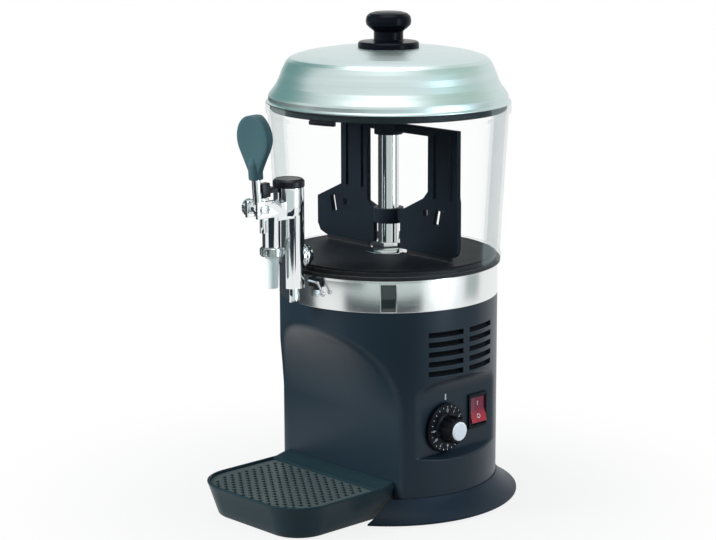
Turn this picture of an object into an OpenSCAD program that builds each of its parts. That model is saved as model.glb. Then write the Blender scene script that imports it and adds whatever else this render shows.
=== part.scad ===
// Countertop hot chocolate dispenser. A round heated base carries a clear bowl with a turning
// stirrer, a lever tap stands in front of the bowl, a steel lid closes it and a drip tray slides
// out of the foot. Millimetres, +Z up, tap and tray towards -Y, controls towards +X, base on Z = 0.

/* [Housing] */
// Diameter of the round moulded housing
housing_d = 209; // [207:0.5:210]
// Height of the housing's top edge above the counter
housing_top = 198.5; // [198:0.5:204]
// Wall thickness of the moulded housing
wall = 3; // [2:0.5:3.5]
// Diameter of the flared foot at the counter
foot_d = 250; // [246:1:256]
// Concave radius of the flare above the foot
flare_r = 44; // [40:1:50]
// Distance of the flat front recess from the bowl's axis
recess_flat = 65; // [62:1:68]
// Radius of the arc that brings the front recess out to the crown
recess_arc_r = 105; // [98:1:110]
// Height at which the flat of the front recess starts to curve
recess_bend_z = 95; // [88:1:98]

/* [Vents] */
// Number of slots in one column
vent_rows = 5; // [3:1:5]
// Height of one slot
vent_slot_h = 5; // [3:0.5:6]
// Height step from one slot to the next
vent_pitch = 9.2; // [8:0.2:9.4]
// Height of the lowest slot's lower edge
vent_low_z = 136.4; // [135:0.2:140]
// Angle that one column of slots covers
vent_arc = 21; // [16:0.5:22]
// Angle of the bar between the two columns
vent_bar = 4.4; // [3:0.2:7]

/* [Controls] */
// Depth of the flat control panel behind the housing's round face
panel_depth = 13.1; // [11.5:0.1:15]
// Radius of the arc over the control panel
panel_arc_r = 18.7; // [15:0.1:20]
// Height where the arc over the panel starts
panel_arc_z = 115.2; // [112:0.2:116]
// Height of the thermostat knob's axis
dial_z = 83.5; // [80:0.5:86]
// Sideways place of the thermostat knob's axis, towards the front
dial_y = -17; // [-20:0.5:-15]
// Diameter of the knob's numbered skirt
dial_d = 47; // [40:1:51]
// Room between the knob's skirt and the sill under it
dial_room = 1; // [0.8:0.1:4]
// Diameter of the knob's grip
grip_d = 25; // [22:0.5:30]
// Sideways place of the power switch, towards the back
switch_y = 28; // [26:0.5:31]
// Height of the power switch's pivot
switch_z = 91.5; // [86:0.5:96]
// Width of the switch's rocker
rocker_w = 19.6; // [16:0.2:20]
// Height of the switch's rocker
rocker_h = 24; // [22:0.2:25.4]

/* [Steel band and heated plate] */
// Height of the stainless band
band_h = 27.5; // [24:0.5:30]
// Thickness of the stainless band
band_t = 1.2; // [0.8:0.1:1.6]
// Angle that the water level window covers
window_arc = 8.6; // [6:0.2:12]
// Distance of the heated plate's edge in from the housing's round face
plate_inset = 4; // [4:0.25:5.5]
// Thickness of the heated plate's disc
plate_t = 4; // [3:0.5:4.5]
// Depth of the water tank under the plate
tank_depth = 44; // [40:0.5:44]

/* [Bowl] */
// How far the bowl's foot stands out over the housing
foot_over = 2; // [1:0.25:2.5]
// Outer diameter of the bowl's rim
bowl_rim_d = 232.4; // [230:0.2:236]
// Height of the bowl
bowl_h = 148; // [147:0.5:160]
// Thickness of the bowl's wall
bowl_wall = 3; // [2.5:0.1:3.4]

/* [Stirrer] */
// Diameter of the stainless column in the middle of the bowl
column_d = 20; // [17:0.5:22]
// Height of the column above the heated plate
column_h = 116; // [112:1:120]
// Diameter of the drive shaft inside the column
shaft_d = 8; // [6:0.5:9]
// Thickness of the stirrer's blades
blade_t = 5; // [3.5:0.5:7]
// Room between the bowl's wall and the blade with the outer arm
blade_room = 9.5; // [6.5:0.5:11.5]
// Room between the bowl's wall and the blade with the inner arm
scoop_room = 5.5; // [4.5:0.5:13.5]
// Clearance between the wiper and the heated plate
wiper_gap = 0.6; // [0.4:0.1:1.2]

/* [Tap] */
// Clearance between the bowl's wall and the tap's head
tap_room = 1.3; // [0.8:0.1:4]
// Diameter of the valve column
valve_d = 21; // [19:0.5:21]
// Diameter of the valve's head
head_d = 28; // [24:0.5:28]
// Distance of the spout in front of the valve column
spout_out = 25.5; // [24.5:0.5:27.5]
// Diameter of the spout tube
spout_d = 17.4; // [15:0.2:18]
// Distance of the lever's pivot in front of the spout
pivot_out = 16; // [15.5:0.5:18]
// Height of the lever's pivot above the inlet
pivot_rise = 50; // [49:0.5:52]
// Width of the lever's paddle
paddle_w = 43; // [34:0.5:46]
// Thickness of the lever's paddle
paddle_t = 7; // [5:0.5:9]
// Distance that the valve plunger lifts
plunger_lift = 10; // [6:0.5:10]

/* [Lid] */
// Outer diameter of the lid's side wall at its lower end
lid_d = 226.6; // [225.6:0.2:227.4]
// Height of the lid from the bowl's rim to its top
lid_h = 50.7; // [46:0.1:56]
// Thickness of the lid's sheet
lid_t = 1.2; // [0.8:0.1:1.6]
// Diameter of the lid's knob
knob_d = 43; // [36:0.5:46]
// Height of the lid's knob
knob_h = 34; // [30:0.5:38]

/* [Drip tray] */
// Reach of the tray in front of the bowl's axis
tray_reach = 188; // [184:1:194]
// Width of the tray at its rim
tray_w = 150; // [146:1:151]
// Height of the tray's rim
tray_h = 33.2; // [31:0.2:33.6]
// Radius of the tray's front corners
tray_corner_r = 40; // [32:1:46]
// How far the tray's walls lean in at the bottom
tray_draft = 11; // [6:0.5:13]
// Width of one square hole in the grille
grille_hole = 4.8; // [3.5:0.1:5]
// Step between holes across the grille
grille_step_x = 12; // [11:0.5:14]
// Step between holes along the grille
grille_step_y = 9; // [9:0.5:11]

/* [Hidden] */
$fn = 96;

// Gap between pieces that move past each other, and radial clearance of a running fit
gap = 0.3;
run = 0.05;
seat = 0.1;
through = 1;

// The footprint is centred on the origin, so the bowl's axis lies behind it
axis_y = (tray_reach - foot_d / 2) / 2;
housing_r = housing_d / 2;
inner_r = housing_r - wall;

// Underside
foot_h = 8;
cover_t = 1.5;
housing_low = foot_h + cover_t;
ring_low = 1.5;
ring_top = 21;
slot_w = tray_w + 2 * gap;
slot_back = 50;
slot_top = tray_h + gap;
foot_angles = [-26, 206, 48, 132];
foot_ring = housing_r - 10;
boss_angles = [15, 60, 120, 165];
boss_r = housing_r - 7.4;

// Levels from the band up to the lid
band_r = housing_r + 0.2;
z_flange = housing_top + band_h;
flange_t = 2.4;
z_seal = z_flange + flange_t;
seal_t = 3.5;
z_bowl = z_seal + seal_t + seat;
z_plate = z_bowl + 5;
z_rim = z_bowl + bowl_h;
z_lid = z_rim + gap;
z_top = z_lid + lid_h;
z_column = z_plate + column_h;
z_bridge = housing_top - 38.5;
tank_low = z_flange - tank_depth;

plate_r = housing_r - plate_inset;

// Bowl wall radii, and the stirrer's reach inside the wall
foot_r = housing_r + foot_over;
rim_r = bowl_rim_d / 2;
rim_in = rim_r - 4;
wall_low_z = z_bowl + 4.4;
wall_high_z = z_rim - 35;
wall_low_r = foot_r + 0.1;
wall_high_r = rim_r - 3.5;
blade_reach = foot_r - bowl_wall - blade_room;
scoop_reach = foot_r - bowl_wall - scoop_room;

// Outer radius of the bowl's leaning wall at a height
function wall_at(z) = wall_low_r
    + (wall_high_r - wall_low_r) * (z - wall_low_z) / (wall_high_z - wall_low_z);

// Controls
panel_x = housing_r - panel_depth;
panel_in = panel_x - wall;
panel_low_z = dial_z - dial_d / 2 - dial_room;
case_w = rocker_w + 2.4;
case_h = rocker_h + 5.4;
rocker_pivot_x = panel_x - 3.4;
rocker_tilt = 8;

// Tap
inlet_z = z_plate + 10;
gasket_rim = 11;
gasket_t = 1.4;
inlet_r = 8;
port_r = 5.5;
gasket_y = max(wall_at(inlet_z - gasket_rim), wall_at(inlet_z + gasket_rim)) + seat;
pivot_z = inlet_z + pivot_rise;
block_z = pivot_z - 12;
head_top = pivot_z + 16;
head_step = 4.7;
bore_r = 6.5;
bore_top = head_top - 2;
tap_y = tap_room + max(wall_at(head_top) + head_d / 2 - head_step, foot_r + valve_d / 2);
head_y = tap_y + head_step;
spout_y = tap_y + spout_out;
pivot_y = spout_y + pivot_out;
paddle_lean = 4;

// Draws its children around the bowl's axis
module on_axis() translate([0, axis_y, 0]) children();

// Round bar from one point to another
module bar(from, to, r) {
    d = to - from;
    len = norm(d);
    translate(from) rotate([0, acos(d.z / len), atan2(d.y, d.x)]) cylinder(r = r, h = len);
}

// Part of a ring between two radii and two heights, from one angle over a span
module sector(r1, r2, z1, z2, start, span)
    rotate([0, 0, start]) rotate_extrude(angle = span)
        translate([r1, z1]) square([r2 - r1, z2 - z1]);

// Cylinders along X, along Y, and as a tube
module rod_x(x1, x2, y, z, r)
    translate([x1, y, z]) rotate([0, 90, 0]) cylinder(r = r, h = x2 - x1);
module rod_y(y1, y2, x, z, r)
    translate([x, y2, z]) rotate([90, 0, 0]) cylinder(r = r, h = y2 - y1);
module tube(r1, r2, z1, z2) difference() {
    translate([0, 0, z1]) cylinder(r = r2, h = z2 - z1);
    translate([0, 0, z1 - through]) cylinder(r = r1, h = z2 - z1 + 2 * through);
}

// ---- Housing ----

// Space in front of the housing's flat front: a flat back that curves out to a crown
module front_recess(grow = 0)
    rotate([90, 0, 90]) linear_extrude(2 * housing_d, center = true) {
        translate([-(recess_flat + recess_arc_r), recess_bend_z]) circle(recess_arc_r + grow);
        translate([-housing_d, -through])
            square([housing_d - recess_flat + grow, recess_bend_z + through]);
    }

// Space beside the flat control panel: a sloping sill, a flat back and an arc over it
module panel_recess(grow = 0) {
    sill_drop = 0.31 * (housing_d / 2 + 20 - panel_x);
    rotate([90, 0, 0]) linear_extrude(housing_d, center = true) {
        translate([panel_x + panel_arc_r, panel_arc_z]) circle(panel_arc_r + grow);
        polygon([[panel_x - grow, panel_low_z - grow], [panel_x - grow, panel_arc_z],
            [housing_r + 20, panel_arc_z], [housing_r + 20, panel_low_z - grow - sill_drop]]);
    }
}

// Slot through the foot that the drip tray slides in
module tray_slot(grow = 0)
    translate([-slot_w / 2 - grow, -housing_d, -through])
        cube([slot_w + 2 * grow, housing_d - slot_back + grow, slot_top + through + grow]);

// Two columns of slots through a wall, centred on an angle
module vent_slots(centre)
    for (start = [-vent_bar / 2 - vent_arc, vent_bar / 2], i = [0 : vent_rows - 1]) {
        low = vent_low_z + i * vent_pitch;
        sector(inner_r - 2, housing_r + 2, low, low + vent_slot_h, centre + start, vent_arc);
    }

module housing() color("#262c33") on_axis() difference() {
    translate([0, 0, housing_low]) cylinder(r = housing_r, h = housing_top - housing_low);
    // The room inside leaves the walls, the screw bosses and three ledges for the motor bridge
    difference() {
        translate([0, 0, housing_low - through])
            cylinder(r = inner_r, h = housing_top - housing_low + 2 * through);
        front_recess(wall);
        panel_recess(wall);
        tray_slot(wall);
        for (a = boss_angles) rotate([0, 0, a]) translate([boss_r, 0, housing_low - 2 * through])
            cylinder(r = 6, h = 22);
        for (a = [35, 120, 180]) sector(inner_r - 5, inner_r + 1, z_bridge - 5, z_bridge, a, 25);
    }
    front_recess();
    panel_recess();
    tray_slot();
    vent_slots(0);
    vent_slots(90);
    rod_x(panel_in - through, panel_x + through, dial_y, dial_z, 5);
    translate([panel_in - through, switch_y - case_w / 2 - seat, switch_z - case_h / 2 - seat])
        cube([wall + 2 * through, case_w + 2 * seat, case_h + 2 * seat]);
    rod_y(inner_r - 2, housing_r + 2, 0, 40, 8 + seat);
    for (a = boss_angles) rotate([0, 0, a]) translate([boss_r, 0, housing_low - through])
        cylinder(r = 2 + run, h = 17);
}

module base_ring() color("#1f2830") on_axis() difference() {
    // The flare is an arc through the ring's top and the upper edge of its rim
    edge_z = 3.4;
    x1 = housing_r;
    z1 = ring_top + 2;
    x2 = foot_d / 2;
    chord = norm([x2 - x1, z1 - edge_z]);
    back = sqrt(flare_r * flare_r - chord * chord / 4);
    cx = (x1 + x2) / 2 + back * (z1 - edge_z) / chord;
    cz = (z1 + edge_z) / 2 + back * (x2 - x1) / chord;
    rotate_extrude() difference() {
        translate([housing_r + seat, ring_low])
            square([foot_d / 2 - housing_r - seat, ring_top - ring_low]);
        translate([cx, cz]) circle(flare_r);
        difference() {
            translate([housing_r + seat + wall, 0]) square([foot_d / 2 - housing_r, ring_top]);
            translate([cx, cz]) circle(flare_r + wall);
            translate([foot_d / 2 - 4, 0]) square([10, ring_top]);
        }
    }
    tray_slot();
}

module base_plate() color("#9aa0a3") on_axis() difference() {
    translate([0, 0, foot_h]) cylinder(r = housing_r - seat, h = cover_t);
    tray_slot();
    for (a = boss_angles) rotate([0, 0, a]) translate([boss_r, 0, foot_h - through])
        cylinder(r = 2.3, h = cover_t + 2 * through);
    // Ring of cooling holes under the motor
    for (i = [0 : 9]) rotate([0, 0, 36 * i]) translate([30, 10, foot_h - through])
        cylinder(r = 3, h = cover_t + 2 * through);
}

module rubber_feet() color("#15181b") on_axis()
    for (a = foot_angles) rotate([0, 0, a]) translate([foot_ring, 0, 0]) {
        cylinder(r1 = 6.8, r2 = 7.5, h = 2);
        translate([0, 0, 2]) cylinder(r = 7.5, h = foot_h - 2);
    }

module base_screws() color("#b9bdc0") on_axis()
    for (a = boss_angles) rotate([0, 0, a]) translate([boss_r, 0, 0]) difference() {
        union() {
            translate([0, 0, foot_h - 2.4]) cylinder(r1 = 3.4, r2 = 4.2, h = 2.4);
            translate([0, 0, foot_h]) cylinder(r = 2, h = 16);
        }
        // Cross recess
        for (t = [0, 90]) rotate([0, 0, t]) translate([-2.4, -0.5, foot_h - 3])
            cube([4.8, 1, 2]);
    }

// Slanted blades behind each column of slots, in a curved frame
module louvre_insert(centre) {
    r2 = inner_r - seat;
    r1 = r2 - 5;
    rim = 1;
    low = vent_low_z - rim;
    high = vent_low_z + (vent_rows - 1) * vent_pitch + vent_slot_h + rim;
    half = vent_bar / 2 + vent_arc;
    difference() {
        sector(r1, r2, low, high, centre - half - 1, 2 * half + 2);
        for (start = [-half, vent_bar / 2 - 0.3])
            sector(r1 - 2, r2 + 2, low + rim, high - rim, centre + start, vent_arc + 0.3);
    }
    for (i = [0 : vent_rows - 1]) {
        z = vent_low_z + i * vent_pitch;
        rotate([0, 0, centre - half - 0.5]) rotate_extrude(angle = 2 * half + 1)
            polygon([[r2 - 0.2, z - 0.8], [r2 - 0.2, z + 0.4], [r1 + 0.3, z + 4], [r1 + 0.3, z + 2.8]]);
    }
}

module vent_louvres() color("#0d1013") on_axis() {
    louvre_insert(0);
    louvre_insert(90);
}

// ---- Band, tank and plate ----

// Angle of the water level window, seen from above, with -Y at -90
window_at = -44;

module steel_band() color("#c3cbc8") on_axis() difference() {
    tube(band_r - band_t, band_r, housing_top, z_flange);
    sector(band_r - 4, band_r + 4, housing_top - 1, z_flange + 1,
        window_at - window_arc / 2, window_arc);
}

module window_frame() color("#dfe6e3") on_axis() difference() {
    half = window_arc / 2 - 0.08;
    sector(band_r - band_t, band_r + 0.3, housing_top + seat, z_flange - seat,
        window_at - half, 2 * half);
    sector(band_r - 4, band_r + 4, housing_top + 1.1, z_flange - 1.1,
        window_at - half + 0.5, 2 * half - 1);
}

module window_pane() color("#2b3c3f") on_axis()
    sector(band_r - band_t, band_r - 0.2, housing_top + 1.2, z_flange - 1.2,
        window_at - window_arc / 2 + 0.63, window_arc - 1.26);

module water_tank() color("#b4bbb9") on_axis() {
    t = 1.2;
    r = plate_r - 2.5;
    core = 12;
    rotate_extrude() polygon([[core, tank_low], [r, tank_low], [r, z_flange],
        [band_r + 0.3, z_flange], [band_r + 0.3, z_seal], [r - t, z_seal], [r - t, tank_low + t],
        [core + t, tank_low + t], [core + t, z_plate - plate_t - seat],
        [core, z_plate - plate_t - seat]]);
}

// Ring heater clamped under the tank, with two terminals
module heating_element() color("#7d7f80") on_axis() {
    ring = 55;
    r = 4;
    z = tank_low - r - seat;
    translate([0, 0, z]) rotate_extrude() translate([ring, 0]) circle(r);
    for (x = [-12, 12]) translate([x, sqrt(ring * ring - x * x), z - 9]) {
        cylinder(r = 2.5, h = 9);
        translate([-3.2, -0.4, -5]) cube([6.4, 0.8, 6]);
    }
}

module heated_plate() color("#24272e") on_axis()
    rotate_extrude() polygon([[column_d / 2 + seat, z_plate - plate_t],
        [plate_r - 3.5, z_plate - plate_t], [plate_r - 3.5, z_seal + seat],
        [plate_r, z_seal + seat], [plate_r, z_plate - 0.8], [plate_r - 0.8, z_plate],
        [column_d / 2 + seat, z_plate]]);

// Black gasket between the plate's edge, the tank's flange and the bowl's foot
module plate_seal() color("#111417") on_axis() {
    r = plate_r + 0.2;
    lip = foot_r - bowl_wall - seat;
    rotate_extrude() polygon([[r, z_seal], [foot_r + 0.4, z_seal], [foot_r + 0.4, z_seal + seal_t],
        [lip, z_seal + seal_t], [lip, z_bowl + 3.6], [r, z_bowl + 3.6]]);
}

gearbox_r = 38;
gearbox_h = 32;
motor_r = 28;
motor_h = 52;
boss_h = 8;
shaft_boss_r = 9;
shaft_depth = 13;

module gear_motor() color("#8b8f93") on_axis() difference() {
    step_h = 4;
    can_low = z_bridge - gearbox_h - step_h - motor_h;
    union() {
        translate([0, 0, z_bridge - gearbox_h]) cylinder(r = gearbox_r, h = gearbox_h);
        translate([0, 0, z_bridge - gearbox_h - step_h]) cylinder(r = gearbox_r - 5, h = step_h);
        translate([0, 0, can_low]) cylinder(r = motor_r, h = motor_h);
        translate([0, 0, can_low - step_h]) cylinder(r = shaft_boss_r, h = step_h);
        translate([0, 0, z_bridge]) cylinder(r = shaft_boss_r, h = boss_h);
    }
    translate([0, 0, z_bridge - shaft_depth - through])
        cylinder(r = shaft_d / 2 + run, h = shaft_depth + boss_h + 2 * through);
    // Cooling slots around the motor can
    for (i = [0 : 7]) rotate([0, 0, 45 * i]) translate([motor_r - 3, -2, can_low + step_h])
        cube([6, 4, 14]);
}

// Sheet bridge that carries the motor, with three arms on the housing's ledges
module motor_bridge() color("#a7abad") on_axis() difference() {
    union() {
        translate([0, 0, z_bridge]) cylinder(r = gearbox_r + 14, h = 2);
        for (a = [40, 125, 185]) rotate([0, 0, a + 7.5]) translate([0, -11, z_bridge])
            cube([inner_r - 3, 22, 2]);
    }
    translate([0, 0, z_bridge - through]) cylinder(r = shaft_boss_r + gap, h = 4);
    for (i = [0 : 3]) rotate([0, 0, 90 * i + 45]) translate([gearbox_r + 6, 0, z_bridge - through])
        cylinder(r = 4, h = 4);
}

// ---- Controls ----

module thermostat() color("#4b4f52") on_axis() difference() {
    union() {
        translate([panel_in - 24, dial_y - 17, dial_z - 17]) cube([24 - seat, 34, 34]);
        rod_x(panel_in - seat, panel_x + 2.6, dial_y, dial_z, 5 - seat);
        // Terminals at the back
        for (y = [-8, 8]) translate([panel_in - 32, dial_y + y - 3.1, dial_z + 4])
            cube([9, 6.2, 0.8]);
    }
    rod_x(panel_in - 12, panel_x + 4, dial_y, dial_z, 3 + run);
}

module dial_nut() color("#c9cdd0") on_axis() difference() {
    translate([panel_x + seat, dial_y, dial_z]) rotate([0, 90, 0])
        cylinder(r = 8, h = 2.3, $fn = 6);
    rod_x(panel_x - through, panel_x + 4, dial_y, dial_z, 5);
}

module dial_spindle() color("#c9cdd0") on_axis()
    rod_x(panel_in - 10, panel_x + 15, dial_y, dial_z, 3);

// Knob with a flat numbered skirt, a pointer ridge and a grip
module dial_knob() color("#101215") on_axis() difference() {
    union() {
        rod_x(panel_x + 1.2, panel_x + 4.2, dial_y, dial_z, dial_d / 2);
        translate([panel_x + 4.2, dial_y, dial_z]) rotate([0, 90, 0])
            cylinder(r1 = dial_d / 2, r2 = dial_d / 2 - 2, h = 1.4);
        translate([panel_x + 5.6, dial_y, dial_z]) rotate([0, 90, 0])
            cylinder(r1 = grip_d / 2, r2 = grip_d / 2 - 1.6, h = 15);
        // Grip flutes
        for (i = [0 : 11]) translate([panel_x + 5.6, dial_y, dial_z]) rotate([30 * i, 0, 0])
            translate([0, -1.1, 0]) cube([13.5, 2.2, grip_d / 2 + 0.6]);
    }
    rod_x(panel_x, panel_x + 3.4, dial_y, dial_z, 9);
    rod_x(panel_x, panel_x + 15.4, dial_y, dial_z, 3 + seat);
}

module dial_cap() color("#e8ecee") on_axis() {
    r = grip_d / 2 - 3.6;
    rod_x(panel_x + 20.6, panel_x + 21.8, dial_y, dial_z, r);
    translate([panel_x + 21.8, dial_y, dial_z]) rotate([0, 90, 0])
        cylinder(r1 = r, r2 = r - 1.2, h = 0.9);
}

module switch_case() color("#14171a") on_axis() difference() {
    union() {
        translate([panel_x - 19, switch_y - case_w / 2, switch_z - case_h / 2])
            cube([19.2, case_w, case_h]);
        translate([panel_x + seat, switch_y - case_w / 2 - 1.2, switch_z - case_h / 2 - 2])
            cube([2.2, case_w + 2.4, case_h + 4]);
        for (z = [-8, 0, 8]) translate([panel_x - 27, switch_y - 3.1, switch_z + z - 0.4])
            cube([9, 6.2, 0.8]);
    }
    translate([panel_x - 9, switch_y - rocker_w / 2 - gap, switch_z - rocker_h / 2 - 1.7])
        cube([16, rocker_w + 2 * gap, rocker_h + 3.4]);
    translate([rocker_pivot_x, switch_y + case_w / 2 + 1, switch_z]) rotate([90, 0, 0])
        cylinder(r = 1.5 + run, h = case_w + 2);
}

// Rocker with a shallow vee face, resting with its upper half pressed in
module switch_rocker() color("#b0122b") on_axis()
    translate([rocker_pivot_x, switch_y, switch_z]) rotate([0, -rocker_tilt, 0]) {
        rotate([90, 0, 0]) linear_extrude(rocker_w, center = true)
            polygon([[-3, -rocker_h / 2], [6, -rocker_h / 2], [4.4, 0], [6, rocker_h / 2],
                [-3, rocker_h / 2]]);
        rotate([90, 0, 0]) cylinder(r = 1.5, h = case_w - 2 * gap, center = true);
    }

module cable_gland() color("#101215") on_axis() difference() {
    union() {
        rod_y(inner_r - 7, housing_r + 1, 0, 40, 8);
        rod_y(housing_r + seat, housing_r + 3, 0, 40, 11);
        translate([0, housing_r + 12, 40]) rotate([90, 0, 0]) cylinder(r = 10, h = 9.2, $fn = 6);
    }
    rod_y(inner_r - 9, housing_r + 14, 0, 40, 4.2);
}

module gland_nut() color("#101215") on_axis() difference() {
    translate([0, inner_r - 1.3, 40]) rotate([90, 0, 0]) cylinder(r = 12, h = 4, $fn = 6);
    rod_y(inner_r - 9, inner_r + 2, 0, 40, 8 + seat);
}

// ---- Bowl ----

module bowl() color("#e4eeee", 0.35) on_axis() difference() {
    shoulder = z_rim - 11;
    rotate_extrude() polygon([
        [foot_r - bowl_wall, z_bowl], [foot_r + 1.3, z_bowl], [foot_r + 1.3, z_bowl + 3.4],
        [wall_low_r, wall_low_z], [wall_high_r, wall_high_z], [rim_r - 2.2, shoulder],
        [rim_r, shoulder + 2], [rim_r, z_rim - 0.8], [rim_r - 0.8, z_rim], [rim_in, z_rim],
        [rim_in, z_rim - 9], [rim_in - 1.2, z_rim - 13],
        [wall_high_r - bowl_wall, wall_high_z], [foot_r - bowl_wall, wall_low_z]]);
    rod_y(-gasket_y - through, -gasket_y + 3 * bowl_wall, 0, inlet_z, inlet_r + gap);
}

// Catch at the band's top edge, beside the tap, and its small sprung hook
module bowl_latch() color("#14171a") on_axis() {
    sector(band_r + 0.4, band_r + 4.4, z_flange - 7, z_flange + 1.6, -86.5, 7);
    sector(band_r + 0.4, band_r + 3, z_flange - 10, z_flange - 6, -84, 3);
}

// Point just outside the band at an angle and a height
function on_band(a, z) = [(band_r + 6) * cos(a), (band_r + 6) * sin(a), z];

module latch_hook() color("#aab0b2") on_axis() {
    bar(on_band(-86, z_flange - 1), on_band(-80, z_flange - 2), 1.1);
    bar(on_band(-80, z_flange - 2), on_band(-77, z_flange - 12), 1.1);
    translate(on_band(-80, z_flange - 2)) sphere(1.5);
    translate(on_band(-77, z_flange - 12)) sphere(2.4);
}

// ---- Column and stirrer ----

module column_tube() color("#ccd3d2") on_axis() difference() {
    union() {
        translate([0, 0, z_plate - 8]) cylinder(r = column_d / 2, h = column_h + 8);
        translate([0, 0, z_plate + 0.02]) cylinder(r = column_d / 2 + 13.5, h = 1.2);
        translate([0, 0, z_plate + 1.2])
            cylinder(r1 = column_d / 2 + 13.5, r2 = column_d / 2 + 6, h = 1.2);
    }
    translate([0, 0, z_plate - 9]) cylinder(r = column_d / 2 - 3, h = column_h + 10);
}

module column_nut() color("#c3c9c8") on_axis() difference() {
    translate([0, 0, z_plate + 2.4]) cylinder(r = column_d / 2 + 5.5, h = 7, $fn = 6);
    translate([0, 0, z_plate]) cylinder(r = column_d / 2 + run, h = 12);
}

module shaft_bushing() color("#b59a5b") on_axis()
    tube(shaft_d / 2 + run, column_d / 2 - 3 - run, z_column - 12, z_column - 0.2);

module drive_shaft() color("#b7bcbd") on_axis()
    translate([0, 0, z_bridge - shaft_depth])
        cylinder(r = shaft_d / 2, h = z_column + 7 - z_bridge + shaft_depth);

// Heights of the stirrer's blades
blade_low = z_plate + 4.6;
cross_low = z_plate + 31;
cross_high = z_plate + 40;
shoulder_z = z_plate + 57.5;
bridge_low = z_column - 0.5;
bridge_high = z_column + 7.6;
arm_w = 39;

// Outline of the stirrer in the X-Z plane: two blades, two unlike arms and the top bridge
module stirrer_outline() {
    inner = 18;
    // Outer-arm side
    polygon([[0, cross_low], [inner, cross_low], [inner, blade_low], [blade_reach - 7, blade_low],
        [blade_reach - 2, blade_low + 3], [blade_reach, blade_low + 9], [blade_reach, shoulder_z],
        [blade_reach - 1, shoulder_z + 4], [blade_reach - 1, bridge_low],
        [blade_reach - arm_w, bridge_low], [blade_reach - arm_w, shoulder_z + 6],
        [blade_reach - arm_w - 6, shoulder_z - 1], [26, cross_high + 5], [14, cross_high],
        [0, cross_high]]);
    // Inner-arm side
    polygon([[0, cross_low], [-inner, cross_low], [-inner, blade_low],
        [-scoop_reach + 12, blade_low], [-scoop_reach + 4, blade_low + 3],
        [-scoop_reach, blade_low + 10], [-scoop_reach, cross_high + 2],
        [-scoop_reach + 34, shoulder_z], [-scoop_reach + 34, bridge_low],
        [-scoop_reach + 71, bridge_low], [-scoop_reach + 71, cross_high + 5],
        [-14, cross_high], [0, cross_high]]);
    translate([-scoop_reach + 34, bridge_low])
        square([blade_reach - 1 + scoop_reach - 34, bridge_high - bridge_low]);
}

module stirrer_frame() color("#20242c") on_axis() difference() {
    union() {
        rotate([90, 0, 0]) linear_extrude(blade_t, center = true) difference() {
            stirrer_outline();
            // Flow holes: a slanted slot and a small square one in each blade
            translate([67, cross_high]) rotate(-12) square([6.5, 15], center = true);
            translate([52, cross_high + 3]) square([5, 6], center = true);
            translate([-75, cross_high - 3]) rotate(12) square([6.5, 15], center = true);
            translate([-58, cross_high]) square([5, 6], center = true);
        }
        translate([0, 0, cross_low - 3])
            cylinder(r = column_d / 2 + 4.4, h = cross_high - cross_low + 5);
        translate([0, 0, bridge_low - 3])
            cylinder(r = column_d / 2 + 3.6, h = bridge_high - bridge_low + 4);
        // Stiffening ribs along the arms
        for (x = [blade_reach - 10, blade_reach - 31, -scoop_reach + 42, -scoop_reach + 63])
            translate([x - 1.5, -blade_t / 2 - 2, cross_high + 18])
                cube([3, blade_t + 4, bridge_low - cross_high - 16]);
    }
    // Clearance around the column and the socket for the drive shaft
    translate([0, 0, cross_low - 4]) cylinder(r = column_d / 2 + 0.4, h = z_column - cross_low + 5);
    translate([0, 0, z_column]) cylinder(r = shaft_d / 2 + run, h = 7.2);
    // Groove that holds the wiper
    translate([-scoop_reach, -1.3, blade_low - through])
        cube([scoop_reach + blade_reach, 2.6, 4 + through]);
}

module stirrer_wiper() color("#2e3036") on_axis() {
    low = z_plate + wiper_gap;
    for (x = [[-scoop_reach + 12, -26], [26, blade_reach - 9]])
        translate([x[0], -1.2, low]) cube([x[1] - x[0], 2.4, blade_low + 4 - low]);
}

// ---- Tap ----

module inlet_gasket() color("#14171a") on_axis() difference() {
    rod_y(-gasket_y - gasket_t, -gasket_y, 0, inlet_z, gasket_rim);
    rod_y(-gasket_y - 2 * gasket_t, -gasket_y + through, 0, inlet_z, inlet_r + seat);
}

module tap_inlet() color("#d7dddd") on_axis() difference() {
    union() {
        rod_y(-tap_y, -foot_r + bowl_wall, 0, inlet_z, inlet_r);
        rod_y(-gasket_y - gasket_t - 2.2, -gasket_y - gasket_t - seat, 0, inlet_z, gasket_rim);
    }
    rod_y(-tap_y - 1, -foot_r + bowl_wall + 2, 0, inlet_z, port_r);
    translate([0, -tap_y, inlet_z - 20]) cylinder(r = valve_d / 2 + run, h = 40);
}

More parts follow.
